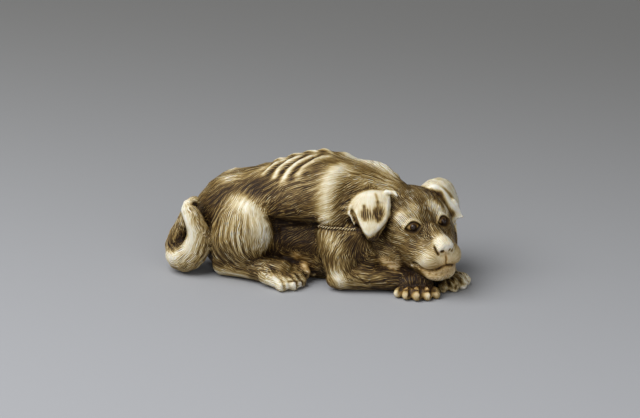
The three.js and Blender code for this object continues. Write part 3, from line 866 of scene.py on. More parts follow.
melt(40, 1.1, [(22.4, 13.0, 14.4), (23.2, 13.1, 13.2), (23.7, 12.9, 12.2)], on=on_left_ear, recover=0.98)
refresh()
print("ears carved")

# %% [markdown]
# Fur on a carving is thousands of short cuts that follow the way the coat lies. The cuts are far finer than
# the net, so the material draws them, but it has to know their direction. Each form's own line gives the
# first guess, a few combing strokes correct it, and the answer is smoothed over the skin.


# %% A comb
def comb(width, points, on=1.0):
    """Lays the fur along a stroke."""
    global coat
    gap, _, heading = reach(place, line(points))
    weight = (np.exp(-((gap / width) ** 2)) * on)[:, None]
    coat = coat * (1 - weight) + heading * weight


def flat_on_skin(vectors):
    vectors = vectors - (vectors * normal).sum(1)[:, None] * normal
    return vectors / np.linalg.norm(vectors, axis=1).clip(1e-6)[:, None]


measure_forms()
FLANK_LIE, HAUNCH_LIE = np.array([-0.8, 0, -0.5]), np.array([0.05, 0, -1])
coat = form_heading.copy()
on_flank = part_of("torso", soft=2)[:, None]
coat = coat * (1 - on_flank) + on_flank * FLANK_LIE
on_haunch = part_of("right_haunch", "left_haunch", soft=1.5)[:, None]
coat = coat * (1 - on_haunch) + on_haunch * HAUNCH_LIE
print("fur laid along", len(names), "forms")

# %% Comb the fur
on_trunk = part_of("torso", "left_upper_arm", "right_upper_arm", soft=2)
on_face = (on_head > 0.5) * 1.0
for flank, cheek in zip(FLANKS, CHEEKS):
    # from the neck back over the shoulder, and off the front of the blade
    comb(2.6, flank((11, 1, 19.5), (7, 2.4, 21.4), (3, 3.5, 22)), on=on_trunk)
    comb(2.2, flank((8.5, 6, 18), (6, 7, 17)), on=on_trunk)
    comb(1.8, flank((5.6, 6.2, 18.4), (3.4, 7.4, 17.2)), on=on_trunk)
    comb(1.8, flank((5.2, 8.0, 14.6), (3.4, 9.2, 13.4)), on=on_trunk)
    comb(2.5, flank((-3, 7.8, 16), (-8, 7.6, 14)), on=on_trunk)
    comb(2.2, flank((-1, 7.5, 12.6), (-8, 7.2, 12)), on=on_trunk)
    comb(2.6, flank((-13, 4, 18), (-19, 5.5, 14.5), (-21, 6, 11)), on=on_trunk)
    # the face: back from the nose, up over the brows, and out over the cheeks
    comb(1.6, cheek((5.4, 0.6, -1.2), (2, 0.8, 0.9), (-2, 1.4, 3.4), (-7, 2.0, 5.2)), on=on_face)
    comb(1.5, cheek((0, 2.6, 1.6), (-1.6, 3.4, 3), (-4.4, 4.2, 4.4)), on=on_face)
    comb(1.5, cheek((-0.4, 4.2, 0.6), (-2.2, 5.4, 1.8)), on=on_face)
    comb(1.9, cheek((4.6, 2.6, -2.6), (1.2, 4.6, -2.2), (-3, 6.6, -1.6)), on=on_face)
    comb(1.9, cheek((4.4, 3.6, -5.0), (0.6, 5.4, -4.8), (-4, 7.6, -4.6), (-8, 8, -4)), on=on_face)
    comb(1.5, cheek((2, 4.4, -6.8), (-3, 6.8, -8)), on=on_face)
# down the near upper arm, round its elbow and out along the forearm, and along the hind foot
comb(2.0, [(6.4, -1.4, 11.0), (3.6, -2.2, 8.8)])
comb(1.8, [(7.2, -1.6, 8.2), (5.6, -2.8, 5.4)])
comb(2.0, [(5.6, -2.6, 5.0), (6.2, -2.8, 3.4), (8.4, -2.2, 2), (12, -1, 2)])
comb(1.6, [(3.4, -3.0, 7), (3.6, -3.2, 3.6), (5, -3.2, 1.4), (8, -2.4, 0.9)])
comb(2.2, [(-17, -1.5, 5), (-15, -2, 3.4), (-10, -3, 3), (-6, -4, 2.2)])
coat = flat_on_skin(coat)
for _ in range(10):
    coat = flat_on_skin(0.4 * coat + 0.6 * spread(coat))
across = np.cross(normal, coat)
print("fur combed")

# %% [markdown]
# Old ivory was stained dark and then rubbed back. Stain stays in hollows and between forms, and handling
# polishes what stands out. How closed in a place is, is felt with short rays sent out from the skin, and how
# high it stands is told by comparing each point with the mean of its neighbours. The dark given to closed-in
# places is painted shade as well as stain, and rays that meet the table add painted shade where the puppy
# lies on it.

# %% Feel for the hollows
# closed-in places, and those near the table, are darkened later: stain and painted shade together
FEELERS = 26
FEELER_LENGTH = 7.0
FEELER_START = 0.12
TABLE_SHADE = 0.25
POINTS_PER_FEEL = 11
skin_tree = BVHTree.FromPolygons([tuple(p) for p in place], [tuple(f.vertices) for f in puppy.data.polygons])
golden = np.pi * (3 - np.sqrt(5))
count = np.arange(FEELERS) + 0.5
tilt = np.sqrt(count / FEELERS)
dome = np.stack([tilt * np.cos(golden * count), tilt * np.sin(golden * count), np.sqrt(1 - tilt ** 2)], 1)
felt = np.arange(0, len(place), POINTS_PER_FEEL)
helper_axis = np.where(np.abs(normal[felt, 2:3]) > 0.9, [[1.0, 0, 0]], [[0, 0, 1.0]])
side_a = np.cross(normal[felt], helper_axis)
side_a /= np.linalg.norm(side_a, axis=1)[:, None]
side_b = np.cross(normal[felt], side_a)
closed = np.zeros(len(felt))
for i, point in enumerate(felt):
    base = place[point] + FEELER_START * normal[point]
    start = Vector(base)
    for ray in dome @ np.stack([side_a[i], side_b[i], normal[point]]):
        hit = skin_tree.ray_cast(start, Vector(ray), FEELER_LENGTH)[3]
        if hit is not None:
            closed[i] += 1 - 0.5 * hit / FEELER_LENGTH
        elif ray[2] < 0 and base[2] / -ray[2] < FEELER_LENGTH:  # the ray meets the table
            closed[i] += TABLE_SHADE
closed /= FEELERS
amount, told = np.zeros(len(place)), np.zeros(len(place))
amount[felt], told[felt] = closed, 1.0
hollow = blur(amount, 14) / blur(told, 14).clip(1e-9)
print("hollow from", hollow.min().round(2), "to", hollow.max().round(2))

# %% Find the high points
apart = np.linalg.norm(place[from_point] - place[to_point], axis=1)
mesh_width = blur(np.bincount(from_point, apart, len(place)) / neighbours, 2)
bend = blur(((place - spread(place)) * normal).sum(1) / mesh_width ** 2, 3)
print("bend", np.percentile(bend, (5, 50, 95)).round(2))

# %% [markdown]
# Three layers are painted on the points, each from 0 to 1: `stain_and_shade` is how dark the ivory is,
# from real stain and from painted shade, `fur_depth` how deep the hair lines are, and `amber` how much
# honey shows where the ivory is thin. They start from one even coat, and each brush stroke moves them towards
# a value. A stainer works the same way, area by area.

# %% Brushes
EVEN_STAIN = 0.68
layers = {
    "stain_and_shade": np.full(len(place), EVEN_STAIN),
    "fur_depth": np.ones(len(place)),
    "amber": np.zeros(len(place)),
}


def lay(layer, value, width, points, on=1.0, strength=1.0):
    """Brushes a value into a layer along a line, softly."""
    weight = glow(width, points) * on * strength
    layers[layer] = layers[layer] * (1 - weight) + value * weight


def brush_stain_and_shade(tone, width, points, on=1.0, strength=1.0):
    """Moves stain and painted shade towards `tone`, which is dark at 1 and rubbed clean at 0."""
    lay("stain_and_shade", tone, width, points, on, strength)


def bare(left, width, points, on=1.0):
    """Less fur, down to smooth ivory at 0."""
    lay("fur_depth", left, width, points, on)


def warm(width, points, on=1.0, strength=1.0):
    """Brings out the amber."""
    lay("amber", 1.0, width, points, on, strength)


on_body = part_of("torso", "left_upper_arm", "right_upper_arm", "left_haunch", "right_haunch", soft=0.5)
on_body = on_body * off_ears
on_belly = part_of("torso", soft=0.4)
on_face = part_of("head", soft=0.3) * off_ears
print("layers:", ", ".join(layers), "from an even stain of", EVEN_STAIN)

# %% Stain the flanks, paint shade under the belly and rub the ribs
RIB_TONES = (0.3, 0.16, 0.08, 0.08, 0.2)
for flank in FLANKS:
    brush_stain_and_shade(0.8, 3, flank((-1, 8, 13), (-8, 7.4, 13), (-16, 6.4, 16)), on=on_body)
    brush_stain_and_shade(0.96, 2.6, flank((-10, 6, 16.5), (-15, 6.5, 14.6)), on=on_body)
    brush_stain_and_shade(0.9, 1.7, flank((-17.6, 5.4, 16.0), (-13.5, 5.6, 17.4)), on=on_body)
    brush_stain_and_shade(0.36, 2.2, flank((8.5, 4.6, 19.6), (11.5, 2, 19.2)), on=on_body)
    brush_stain_and_shade(0.86, 2.6, flank((-19.5, 6.5, 14), (-21, 5.5, 11), (-20.6, 6.2, 7)), on=on_body)
    # painted shade on the belly's underside, between the legs
    brush_stain_and_shade(0.95, 3.2, flank((-7, 6, 8), (-1, 6, 8), (-7, 6, 4.5), (-1, 6, 4.5)), on=on_belly)
    brush_stain_and_shade(0.6, 1.3, flank((-8, 2.2, 20.8), (-3, 3.2, 22)), on=on_body, strength=0.7)
    for between in rib_gaps(flank):
        brush_stain_and_shade(0.95, 0.5, between, on=on_body)
    for (_, stations), tone in zip(RIBS, RIB_TONES):
        brush_stain_and_shade(tone, RIB_WIDTH, flank(*stations), on=on_body)
        bare(0.2, 0.7, flank(*stations), on=on_body)
    brush_stain_and_shade(0.12, 1.6, flank((-18.7, 2.2, 17.3), (-17.8, 2.9, 17.4)), on=on_body)
print("flanks stained, mean", layers["stain_and_shade"].mean().round(3))

# %% [markdown]
# The shoulder blade is the brightest place on the body. It is rubbed clean at its back edge, and its front is
# furred over again, so that the light stops at a soft comb of hair.

# %% Shoulder blades
for flank in FLANKS:
    brush_stain_and_shade(0.03, 1.7, flank((3.8, 3.0, 21.6), (2.3, 4.6, 20.9), (1.7, 6.8, 19.2)), on=on_body)
    brush_stain_and_shade(0.06, 1.35, flank((1.7, 6.8, 19.2), (1.6, 8.0, 17.4), (1.6, 8.9, 15.4)), on=on_body)
    brush_stain_and_shade(0.3, 1.3, flank((1.8, 9.2, 14.4), (2.0, 9.4, 13.0)), on=on_body)
    bare(0.15, 1.7, flank((2.6, 3.2, 21.6), (1.9, 5.0, 20.4), (1.3, 7.2, 18.6), (1.2, 8.6, 16.4)), on=on_body)
    brush_stain_and_shade(0.92, 0.55, flank((5.0, 5.6, 19.8), (4.8, 7.2, 17.8), (4.7, 8.3, 15.4), (5.0, 8.6, 13)), on=on_body)
print("shoulder blades rubbed, mean", layers["stain_and_shade"].mean().round(3))

# %% Haunches, arms and the fold
for hand, flank in zip(("right", "left"), FLANKS):
    on_thigh, on_arm = part_of(hand + "_haunch", soft=0.6), part_of(hand + "_upper_arm")
    brush_stain_and_shade(0.38, 4, flank((-15, 10, 10.4), (-14, 10, 8)), on=on_thigh)
    brush_stain_and_shade(0.66, 1.8, flank((-16.5, 10, 6.6), (-13.4, 10.2, 5.6)), on=on_thigh)
    brush_stain_and_shade(0.7, 2.2, flank((-18.5, 7, 13), (-19.6, 7, 9)), on=on_thigh)
    brush_stain_and_shade(0.8, 1.6, flank((-18, 8.5, 4.6), (-12.5, 9.3, 4.6)))
    brush_stain_and_shade(0.02, 2.1, flank((-15.2, 7.8, 15.0), (-13.3, 8.4, 14.7), (-11.4, 9.2, 13.3), (-10.2, 9.7, 11.2)),
        on=on_thigh)
    brush_stain_and_shade(0.1, 1.6, flank((-10.2, 9.7, 11.2), (-9.3, 9.2, 8.8), (-9.8, 9.3, 7)), on=on_thigh)
    bare(0.2, 1.8, flank((-14.8, 8.0, 14.9), (-12.0, 9.2, 13.7), (-10.6, 9.7, 11.6)), on=on_thigh)
    brush_stain_and_shade(0.9, 0.5, flank(*KNEE_LINE))
    # the upper arm's light front, the dark crook behind it, and the elbow with the forearm's lower edge
    brush_stain_and_shade(0.24, 1.4, flank((2.6, 9.9, 9.9), (4.3, 10.2, 8.8)), on=on_arm)
    brush_stain_and_shade(0.85, 0.9, flank((2.8, 10.9, 5.8), (3.4, 11.0, 5.0)), on=on_arm)
    brush_stain_and_shade(0.8, 1.6, flank((7.6, 9.2, 9.2), (8.2, 8.8, 6.2)))
    brush_stain_and_shade(0.3, 1.1, flank((5.6, 11.3, 1.6), (8.6, 11.0, 1.4), (11.0, 10.4, 1.4)))
    brush_stain_and_shade(0.08, 1.35, flank((4.5, 11.4, 3.4), (5.7, 11.4, 2.3)))
    bare(0.3, 1.0, flank((5.0, 11.4, 2.9)))
    brush_stain_and_shade(0.97, 0.38, flank((-8.2, 6.6, 10.1), (-3.1, 6.2, 11.2), (-0.8, 6.5, 11.5)))
print("legs stained, mean", layers["stain_and_shade"].mean().round(3))

# %% Stain the face
for cheek in CHEEKS:
    # bridge, brows and the side of the face
    brush_stain_and_shade(0.74, 1.6, cheek((0.5, 0.4, 1.2), (-2.4, 0.5, 3.2)), on=on_face)
    brush_stain_and_shade(0.24, 1.0, cheek((-1.2, 3.8, 2.0), (-2.2, 4.6, 2.2)), on=on_face)
    brush_stain_and_shade(0.2, 1.2, cheek((-0.6, 2.4, 2.0), (-2.2, 2.2, 3.4)), on=on_face, strength=0.7)
    brush_stain_and_shade(0.68, 1.8, cheek((1.4, 3.8, -2.2), (-2.5, 6.2, -2.4)), on=on_face)
    # muzzle and nose
    brush_stain_and_shade(0.05, 1.75, cheek((4.6, 2.9, -4.4), (4.2, 3.4, -5.2)), on=on_face)
    brush_stain_and_shade(0.16, 1.3, cheek((6.2, 1.4, -4.2), (6.4, 0.5, -4.4)), on=on_face)
    warm(2.0, cheek((6.0, 1.0, -5.0), (4.8, 2.6, -6.0)), on=on_face, strength=0.4)
    bare(0.12, 1.9, cheek((4.8, 2.8, -4.6), (6.2, 1.2, -4.2)), on=on_face)
    brush_stain_and_shade(0.0, 1.1, cheek((5.0, 0.8, -1.2), (6.2, 0.9, -2.2)), on=on_face)
    bare(0.0, 1.3, cheek((5.0, 0.6, -1.3), (6.3, 0.8, -2.2)), on=on_face)
    # lower lip, the painted shade under it, and the mouth
    brush_stain_and_shade(0.1, 0.9, cheek(*LOWER_LIP), on=on_face)
    brush_stain_and_shade(0.15, 1.1, cheek((4.6, 2.2, -8.0), (5.6, 0.6, -7.6)), on=on_face)
    warm(1.5, cheek(*LOWER_LIP), on=on_face, strength=0.75)
    bare(0.3, 1.4, cheek(*LOWER_LIP), on=on_face)
    brush_stain_and_shade(0.95, 1.5, cheek((3.4, 4.2, -8.0), (1.0, 5.4, -8.0)), on=on_face)
    brush_stain_and_shade(0.99, 0.3, cheek(*MOUTH), on=on_face)
    brush_stain_and_shade(0.0, 0.3, cheek(LIP_CORNER), on=on_face)
print("face stained, mean", layers["stain_and_shade"].mean().round(3))

# %% Cord bed and tail
brush_stain_and_shade(0.98, 0.5, CORD, on=off_ears)
brush_stain_and_shade(0.44, 9, [(-25, 0, 7)], on=ON_TAIL)
brush_stain_and_shade(0.04, 1.25, BAND[:6], on=ON_TAIL)
brush_stain_and_shade(0.08, 1.4, BAND[5:], on=ON_TAIL)
bare(0.2, 1.1, BAND[:6], on=ON_TAIL)
# painted shade inside the curl of the tail
brush_stain_and_shade(0.95, 1.5, TAIL_HOLLOW, on=ON_TAIL)
brush_stain_and_shade(0.95, 0.5, [(-23.6, -0.2, 13.2), (-23.3, 0.6, 13.0)], on=ON_TAIL)
print("tail stained")

# %% [markdown]
# Paws are pale at the nails, and dark between the toes and round each nail. The dark lines use the strokes
# that the toes were cut with, so stain and cut always lie together.

# %% Hind paws
brush_stain_and_shade(0.22, 1.5, [(-9.0, -4.0, 1.2), (-6.3, -5.1, 1.6), (-4.4, -5.2, 1.2), (-2.8, -4.0, 1.2)], on=HIND_TOES)
brush_stain_and_shade(0.25, 1.0, [(-19.0, -0.6, 1.2), (-17.4, -1.6, 1.2), (-13, -2.6, 0.8)], on=HIND_TOES)
brush_stain_and_shade(0.1, 0.9, [(-6.6, -4.9, 2.0), (-4.8, -5.3, 1.2)], on=HIND_TOES)
for toe in ((-3.6, -4.5, 1.5), (-2.7, -4.1, 1.2), (-2.1, -3.3, 1.2)):
    brush_stain_and_shade(0.1, 0.8, [toe], on=HIND_TOES)
bare(0.3, 1.1, [(-5.4, -5.2, 1.2), (-3.4, -4.3, 1.0)], on=HIND_TOES)
FAR_HIND = part_of("left_hind_foot", soft=0.3)
brush_stain_and_shade(0.7, 5, [(-6, 2, 3)], on=FAR_HIND)
for knuckle in ((-4.3, 1.2, 4.9), (-2.3, 0.4, 3.3), (-1.8, -0.1, 2.4)):
    brush_stain_and_shade(0.15, 0.7, [knuckle], on=FAR_HIND)
    warm(1.2, [knuckle], on=FAR_HIND)
    bare(0.2, 0.7, [knuckle], on=FAR_HIND)
print("hind paws stained")

# %% Forepaws
NEAR_CLAWS = [((15.7, -3.3, 1.1), 0.3), ((17.5, -4.0, 1.2), 0.45), ((19.5, -3.9, 1.3), 0.5),
              ((21.5, -3.2, 1.2), 0.4), ((22.5, -1.8, 1.0), 0.1)]
brush_stain_and_shade(0.68, 6, [(11, -1, 2)], on=NEAR_PAW)
# painted shade where the near forearm runs under the jaw
brush_stain_and_shade(0.86, 1.5, [(11.8, -1.7, 1.4), (13.2, -1.7, 2.3), (15.1, -1.2, 2.9)], on=NEAR_PAW)
# painted shade on the paw's top, under the chin
brush_stain_and_shade(0.93, 2.6, [(17.4, -1.2, 3), (20.4, -0.4, 2.8)], on=NEAR_PAW)
for claw, breadth in NEAR_CLAWS:
    wide = [np.array(claw) - (breadth, 0, 0), np.array(claw) + (breadth, 0.1, 0)]
    brush_stain_and_shade(0.25, 0.66, wide, on=NEAR_PAW)
    warm(0.9, wide, on=NEAR_PAW, strength=0.4)
    bare(0.0, 1.0, wide, on=NEAR_PAW)
for knuckle in ((17.4, -2.9, 2.3), (19.2, -2.5, 2.5), (21.2, -2.3, 2.4)):
    brush_stain_and_shade(0.3, 0.55, [knuckle], on=NEAR_PAW)
    warm(0.9, [knuckle], on=NEAR_PAW)
brush_stain_and_shade(0.4, 5, [(25, 5, 2)], on=FAR_PAW)
for claw in ((24.9, 2.3, 1.0), (26.5, 4.2, 0.5), (27.2, 5.0, 1.2), (27.2, 6.4, 0.6)):
    brush_stain_and_shade(0.1, 0.85, [claw], on=FAR_PAW)
    bare(0.1, 0.9, [claw], on=FAR_PAW)
for paw, gap_lines, nails in ((HIND_TOES, HIND_GAPS, HIND_NAILS), (NEAR_PAW, NEAR_GAPS, NEAR_NAILS),
                              (FAR_PAW, FAR_GAPS, FAR_NAILS)):
    for gap_line in gap_lines:
        brush_stain_and_shade(0.98, 0.24, gap_line, on=paw)
    for nail in nails:
        brush_stain_and_shade(0.92, NAIL_LINE, nail, on=paw)
print("forepaws stained, with", len(NEAR_CLAWS), "pale claws")

# %% [markdown]
# The near ear is almost clean ivory. Two tufts were left dark in its middle, hair by hair, over a light wash.

# %% Near ear
STREAKS = [  # start and end on the leaf, width, tone
    ((-0.6, -0.5), (0.0, -2.4), 0.2, 0.55), ((0.0, -2.4), (0.15, -6.2), 0.22, 0.84),
    ((-0.3, -3.7), (-0.15, -5.6), 0.17, 0.8), ((0.75, -3.3), (0.55, -5.8), 0.22, 0.8),
    ((1.15, -2.9), (0.95, -4.4), 0.15, 0.55), ((-2.45, -3.3), (-2.25, -6.0), 0.24, 0.85),
    ((-2.95, -4.3), (-2.7, -5.3), 0.17, 0.7), ((-1.8, -4.0), (-1.75, -5.5), 0.17, 0.75),
    ((-1.2, -4.8), (-1.15, -6.2), 0.15, 0.65), ((-0.7, -4.1), (-0.65, -5.7), 0.16, 0.7),
]
leaf_centre = on_leaf((-1, -4))
brush_stain_and_shade(0.13, 20, leaf_centre, on=on_right_ear)
bare(0.12, 20, leaf_centre, on=on_right_ear)
hook = on_leaf((1.8, -0.5, 0.1), (2.9, -0.5, 0.2), (3.75, -1.3, 0.4))
brush_stain_and_shade(0.08, 0.5, hook)
bare(0.1, 0.5, hook)
for tuft in on_leaf((-2.35, -5.0, 0.7), (-1.3, -5.2, 0.7), (0.1, -4.7, 0.7), (0.5, -4.2, 0.7)):
    brush_stain_and_shade(0.62, 0.9, [tuft], on=on_right_ear, strength=0.85)
    bare(1.0, 0.9, [tuft], on=on_right_ear)
for start, end, width, tone in STREAKS:
    brush_stain_and_shade(tone, width, on_leaf((*start, 0.7), (*end, 0.6)), on=on_right_ear)
brush_stain_and_shade(0.98, 0.32, LEAF_GAP)
brush_stain_and_shade(0.15, 0.28, on_leaf((-5.1, -3.4), (-5.2, -4.6, -0.1), (-4.3, -6.5, -0.4)))
# painted shadow cast by the near ear's front edge on the neck
brush_stain_and_shade(0.95, 0.35, on_leaf((2.55, -1.6, -0.4), (2.5, -5.0, -0.6), (1.5, -7.2, -0.8)), on=off_ears)
print("near ear:", len(STREAKS), "dark hairs")

# %% Far ear
far_ear_centre = [(22, 12, 14)]
brush_stain_and_shade(0.1, 20, far_ear_centre, on=on_left_ear)
bare(0.4, 20, far_ear_centre, on=on_left_ear)
back_streak = [(20.7, 12.2, 16.6), (21.9, 12.9, 15.2), (22.7, 13.0, 13.7), (23.3, 13.4, 12.5)]
brush_stain_and_shade(0.6, 0.42, back_streak, on=on_left_ear)
brush_stain_and_shade(0.02, 0.55, FAR_RIM, on=on_left_ear)
bare(0.05, 0.6, FAR_RIM, on=on_left_ear)
# painted shade in the hollow under the far ear's rim
brush_stain_and_shade(0.94, 0.55, FAR_HOLLOW)
brush_stain_and_shade(0.86, 0.8, [(18.6, 9.6, 16.3), (20.0, 9.2, 15.7), (21.3, 8.5, 14.5), (22.4, 8.0, 13.2)], on=on_face)
print("far ear stained, mean", layers["stain_and_shade"].mean().round(3))

# %% [markdown]
# Now time does its part: dark grows in the hollows, as stain and as painted shade, and hands polish the
# heights. After it come the strokes that have to stay crisp, painted shadows among them, so they are laid
# over the ageing and not under it.

# %% A century of handling, and painted shade in the hollows
HOLLOW_FROM, HOLLOW_STAIN_AND_SHADE = 0.22, 0.75
BEND_FROM, BEND_POLISH = 0.12, 0.3
# darker where the skin is closed in, by itself or by the table: stain and painted shade
hollow_stain_and_shade = HOLLOW_STAIN_AND_SHADE * np.clip(hollow - HOLLOW_FROM, 0, 1)
polished = BEND_POLISH * np.clip(bend - BEND_FROM, -0.8, 0.6)
layers["stain_and_shade"] = layers["stain_and_shade"] + hollow_stain_and_shade - polished
brush_stain_and_shade(0.03, 1.9, [(4.6, 10.6, 21.4), (6.6, 10.9, 21.3), (9.0, 10.8, 20.6), (10.6, 10.6, 19.6)], on=on_body)
print("aged, mean", layers["stain_and_shade"].mean().round(3))

# %% Sharpen the face
BROW_TONES = (0.4, 0.06)
for cheek, snout, brow_tone in zip(CHEEKS, SNOUTS, BROW_TONES):
    brow = cheek((-1.7, 2.0, 3.1), (-1.2, 2.8, 2.4), (-0.6, 3.3, 1.8))
    # painted shadow along the lower edge of the jaw
    brush_stain_and_shade(0.97, 0.4, cheek((-2.9, 8.3, -7.5), (-1.9, 7.4, -8.1), (-0.8, 6.3, -8.3), (0.2, 5.3, -8.0)))
    brush_stain_and_shade(0.16, 0.75, cheek((-2.4, 4.9, 1.8), (-1.6, 4.7, 1.4), (-1.0, 4.4, 1.1)), on=on_face)
    brush_stain_and_shade(brow_tone, 0.95, brow, on=on_face)
    brush_stain_and_shade(0.0, 1.0, snout((5.1, 0.5, -1.3), (6.3, 0.6, -2.0)), on=on_face)
    brush_stain_and_shade(0.15, 0.9, cheek(*[(x, out, z - 0.25) for x, out, z in LOWER_LIP]), on=on_face)
    brush_stain_and_shade(0.9, 0.5, cheek((2.6, 4.2, -6.9), (3.6, 3.6, -7.8)), on=on_face)
    brush_stain_and_shade(0.92, 0.7, cheek((0.4, 5.4, -7.2), (1.4, 4.8, -7.6)), on=on_face)
warm(0.6, PHILTRUM, on=on_face)
GROOVE_TONE = 0.98
layers["stain_and_shade"] = layers["stain_and_shade"] * (1 - grooves) + GROOVE_TONE * grooves
print("face sharpened,", np.count_nonzero(grooves > 0.5), "points in grooves")

# %% Painted shade in the gaps round the cheek, the ears and under the paw
# painted shadow in the gap between the jaw and the near arm
brush_stain_and_shade(0.97, 0.9, [(6.6, -1.5, 9.6), (8.4, -1.2, 6.5), (9.6, -0.9, 5.1), (11.3, -0.5, 4.5), (13.0, -0.4, 4.0),
                (14.9, -0.2, 3.8), (16.3, -0.3, 3.7)], on=1 - on_face)
for cheek in CHEEKS:
    golden_patch = cheek((-2.5, 7.85, -6.1), (-1.7, 7.1, -6.6), (-1.0, 6.2, -7.0))
    brush_stain_and_shade(0.14, 0.85, golden_patch)
    warm(1.1, golden_patch)
    # painted shadow under the golden patch, along the jaw
    brush_stain_and_shade(0.97, 0.35, [point - (0, 0, 1.45) for point in golden_patch])
# painted shadow under the near ear's tip
brush_stain_and_shade(0.9, 0.6, on_leaf((-2.2, -8.9, -0.4), (-1.2, -9.3, -0.4), (0.2, -8.8, -0.4)), on=off_ears)
# painted shadow under the near wrist
brush_stain_and_shade(0.97, 0.6, [(11.4, -1.4, 0.8), (13.2, -1.0, 0.6), (14.6, -1.4, 0.8)])
# painted shade on the face under the far ear's tip
brush_stain_and_shade(0.85, 0.7, [(22.8, 11.0, 10.6), (22.4, 10.0, 10.2)], on=1 - on_left_ear)
# painted shade along the far ear's hollow, over onto the face
brush_stain_and_shade(0.88, 0.6, [(20.4, 11.2, 15.6), (21.2, 10.9, 14.2), (22.3, 10.6, 12.9), (22.8, 11.2, 11.7)])
print("gaps darkened, mean", layers["stain_and_shade"].mean().round(3))

# %% [markdown]
# The eyes are painted last, inside their lids: honey-coloured round a dark iris, with a black line where the
# lid meets the ball and a pale lid above it.

# %% Paint the eyes
EYE_TONE, IRIS_TONE, RIM_TONE, LID_TONE = 0.26, 0.86, 0.97, 0.12
IRIS_RADIUS = 0.7
LID_STRENGTH = 0.8


def paint(tone, weight):
    layers["stain_and_shade"] = layers["stain_and_shade"] * (1 - weight) + tone * weight


for side in (RIGHT, LEFT):
    _, _, sideways, rise, near = look_into_eye(side)
    inside = almond(sideways, rise)
    eyeball = np.clip((inside - 0.16) / 0.14, 0, 1) * near
    iris = eyeball * np.clip((IRIS_RADIUS - np.hypot(sideways, rise)) / 0.1, 0, 1)
    rim = np.exp(-((inside - 0.03) / 0.2) ** 2) * near
    lid = np.exp(-((inside + 0.45) / 0.22) ** 2) * near * np.clip(0.5 + rise / 1.2, 0, 1)
    paint(EYE_TONE, eyeball)
    paint(IRIS_TONE, iris)
    paint(RIM_TONE, rim)
    paint(LID_TONE, LID_STRENGTH * lid)
    layers["fur_depth"] = layers["fur_depth"] * (1 - np.clip((inside + 0.6) / 0.3, 0, 1) * near)
    layers["amber"] = np.maximum(layers["amber"], eyeball)
for name, values in layers.items():
    layers[name] = np.clip(blur(values, 1), 0, 1)
print("mean stain", layers["stain_and_shade"].mean().round(2))

# %% [markdown]
# What the brushes left is stored with the mesh as named attributes, and the material reads them by those
# names. The layout in millimetres is then put back where the solid stands, in metres, and kept inside the
# solid's box.


# %% Finish the mesh
def store(piece, name, values, kind="FLOAT"):
    """Keeps a value, or a direction, for each point of a piece."""
    made = piece.data.attributes.new(name, kind, "POINT")
    slot = "value" if kind == "FLOAT" else "vector"
    made.data.foreach_set(slot, np.ascontiguousarray(values, np.float32).ravel())


def store_finish(piece, across_fur, fine_fur, painted):
    store(piece, "across_fur", across_fur, "FLOAT_VECTOR")
    store(piece, "fine_fur", fine_fur)
    for name, values in painted.items():
        store(piece, name, values)


def to_scene(points):
    """Takes places from the layout to where the solid stands."""
    return (points - layout) * MM


store_finish(puppy, across, part_of("head", soft=1.5), layers)
home = np.clip(to_scene(place), cad_box[0], cad_box[1])
puppy.data.vertices.foreach_set("co", home.ravel())
puppy.data.polygons.foreach_set("use_smooth", np.ones(len(puppy.data.polygons), bool))
puppy.data.update()
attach(puppy, "root")
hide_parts("ivory_puppy")
print("attributes:", ", ".join(sorted(layers)), "across_fur and fine_fur")

# %% [markdown]
# The twisted cord lies in the bed that was cut for it. Two strands make its section an oval, and the oval
# turns as it runs along, which gives the slanting nicks without cutting them one by one.

# %% Lay the cord's middle line
CORD_THICK = 0.18
CORD_LIFT = 0.10
RINGS = 240


def curve_through(stops, count):
    """Even steps on a smooth curve through the stops."""
    stops = np.array([stops[0], *stops, stops[-1]], float)
    t = np.linspace(0, len(stops) - 3 - 1e-6, count)
    i = t.astype(int)
    f = (t - i)[:, None]
    a, b, c, d = (stops[i + k] for k in range(4))
    bowed, twisted = 2 * a - 5 * b + 4 * c - d, 3 * b - a - 3 * c + d
    return 0.5 * (2 * b + (c - a) * f + bowed * f ** 2 + twisted * f ** 3)


bed = [skin_tree.find_nearest(Vector(point))[:2] for point in curve_through(CORD, RINGS)]
middle_line = np.array([spot + CORD_LIFT * outward for spot, outward in bed])
for _ in range(12):
    middle_line[1:-1] = (middle_line[:-2] + middle_line[1:-1] + middle_line[2:]) / 3
steps = np.linalg.norm(np.diff(middle_line, axis=0), axis=1)
run = np.concatenate([[0], np.cumsum(steps)])
heading = np.gradient(middle_line, axis=0)
heading /= np.linalg.norm(heading, axis=1)[:, None]
out = np.cross(heading, [0, 0, 1.0])
out /= np.linalg.norm(out, axis=1)[:, None]
over = np.cross(out, heading)
print("cord:", round(float(run[-1]), 1), "mm long")

# %% Twist the cord
TURN_LENGTH = 0.52
ROUND = 18
OVAL = 0.26
CORD_STAIN, STRAND_SHINE = 0.55, 0.42
net = bmesh.new()
rings, cord_stain = [], []
for i in range(RINGS):
    taper = min(1.0, 0.3 + 0.1 * min(i, RINGS - 1 - i))
    ring = []
    for j in range(ROUND):
        angle = 2 * np.pi * j / ROUND
        swell = cos(2 * (angle - np.pi * run[i] / TURN_LENGTH))
        radius = CORD_THICK * taper * (1 + OVAL * swell)
        spoke = cos(angle) * out[i] + sin(angle) * over[i]
        ring.append(net.verts.new(to_scene(middle_line[i] + radius * spoke)))
        cord_stain.append(CORD_STAIN - STRAND_SHINE * swell)
    rings.append(ring)
for one, other in zip(rings, rings[1:]):
    for j in range(ROUND):
        net.faces.new((one[j], one[(j + 1) % ROUND], other[(j + 1) % ROUND], other[j]))
net.faces.new(rings[0][::-1])
net.faces.new(rings[-1])
bmesh.ops.recalc_face_normals(net, faces=net.faces)
for side_of_cord in net.faces:
    side_of_cord.smooth = True
cord = piece_from(net, "twisted_cord")
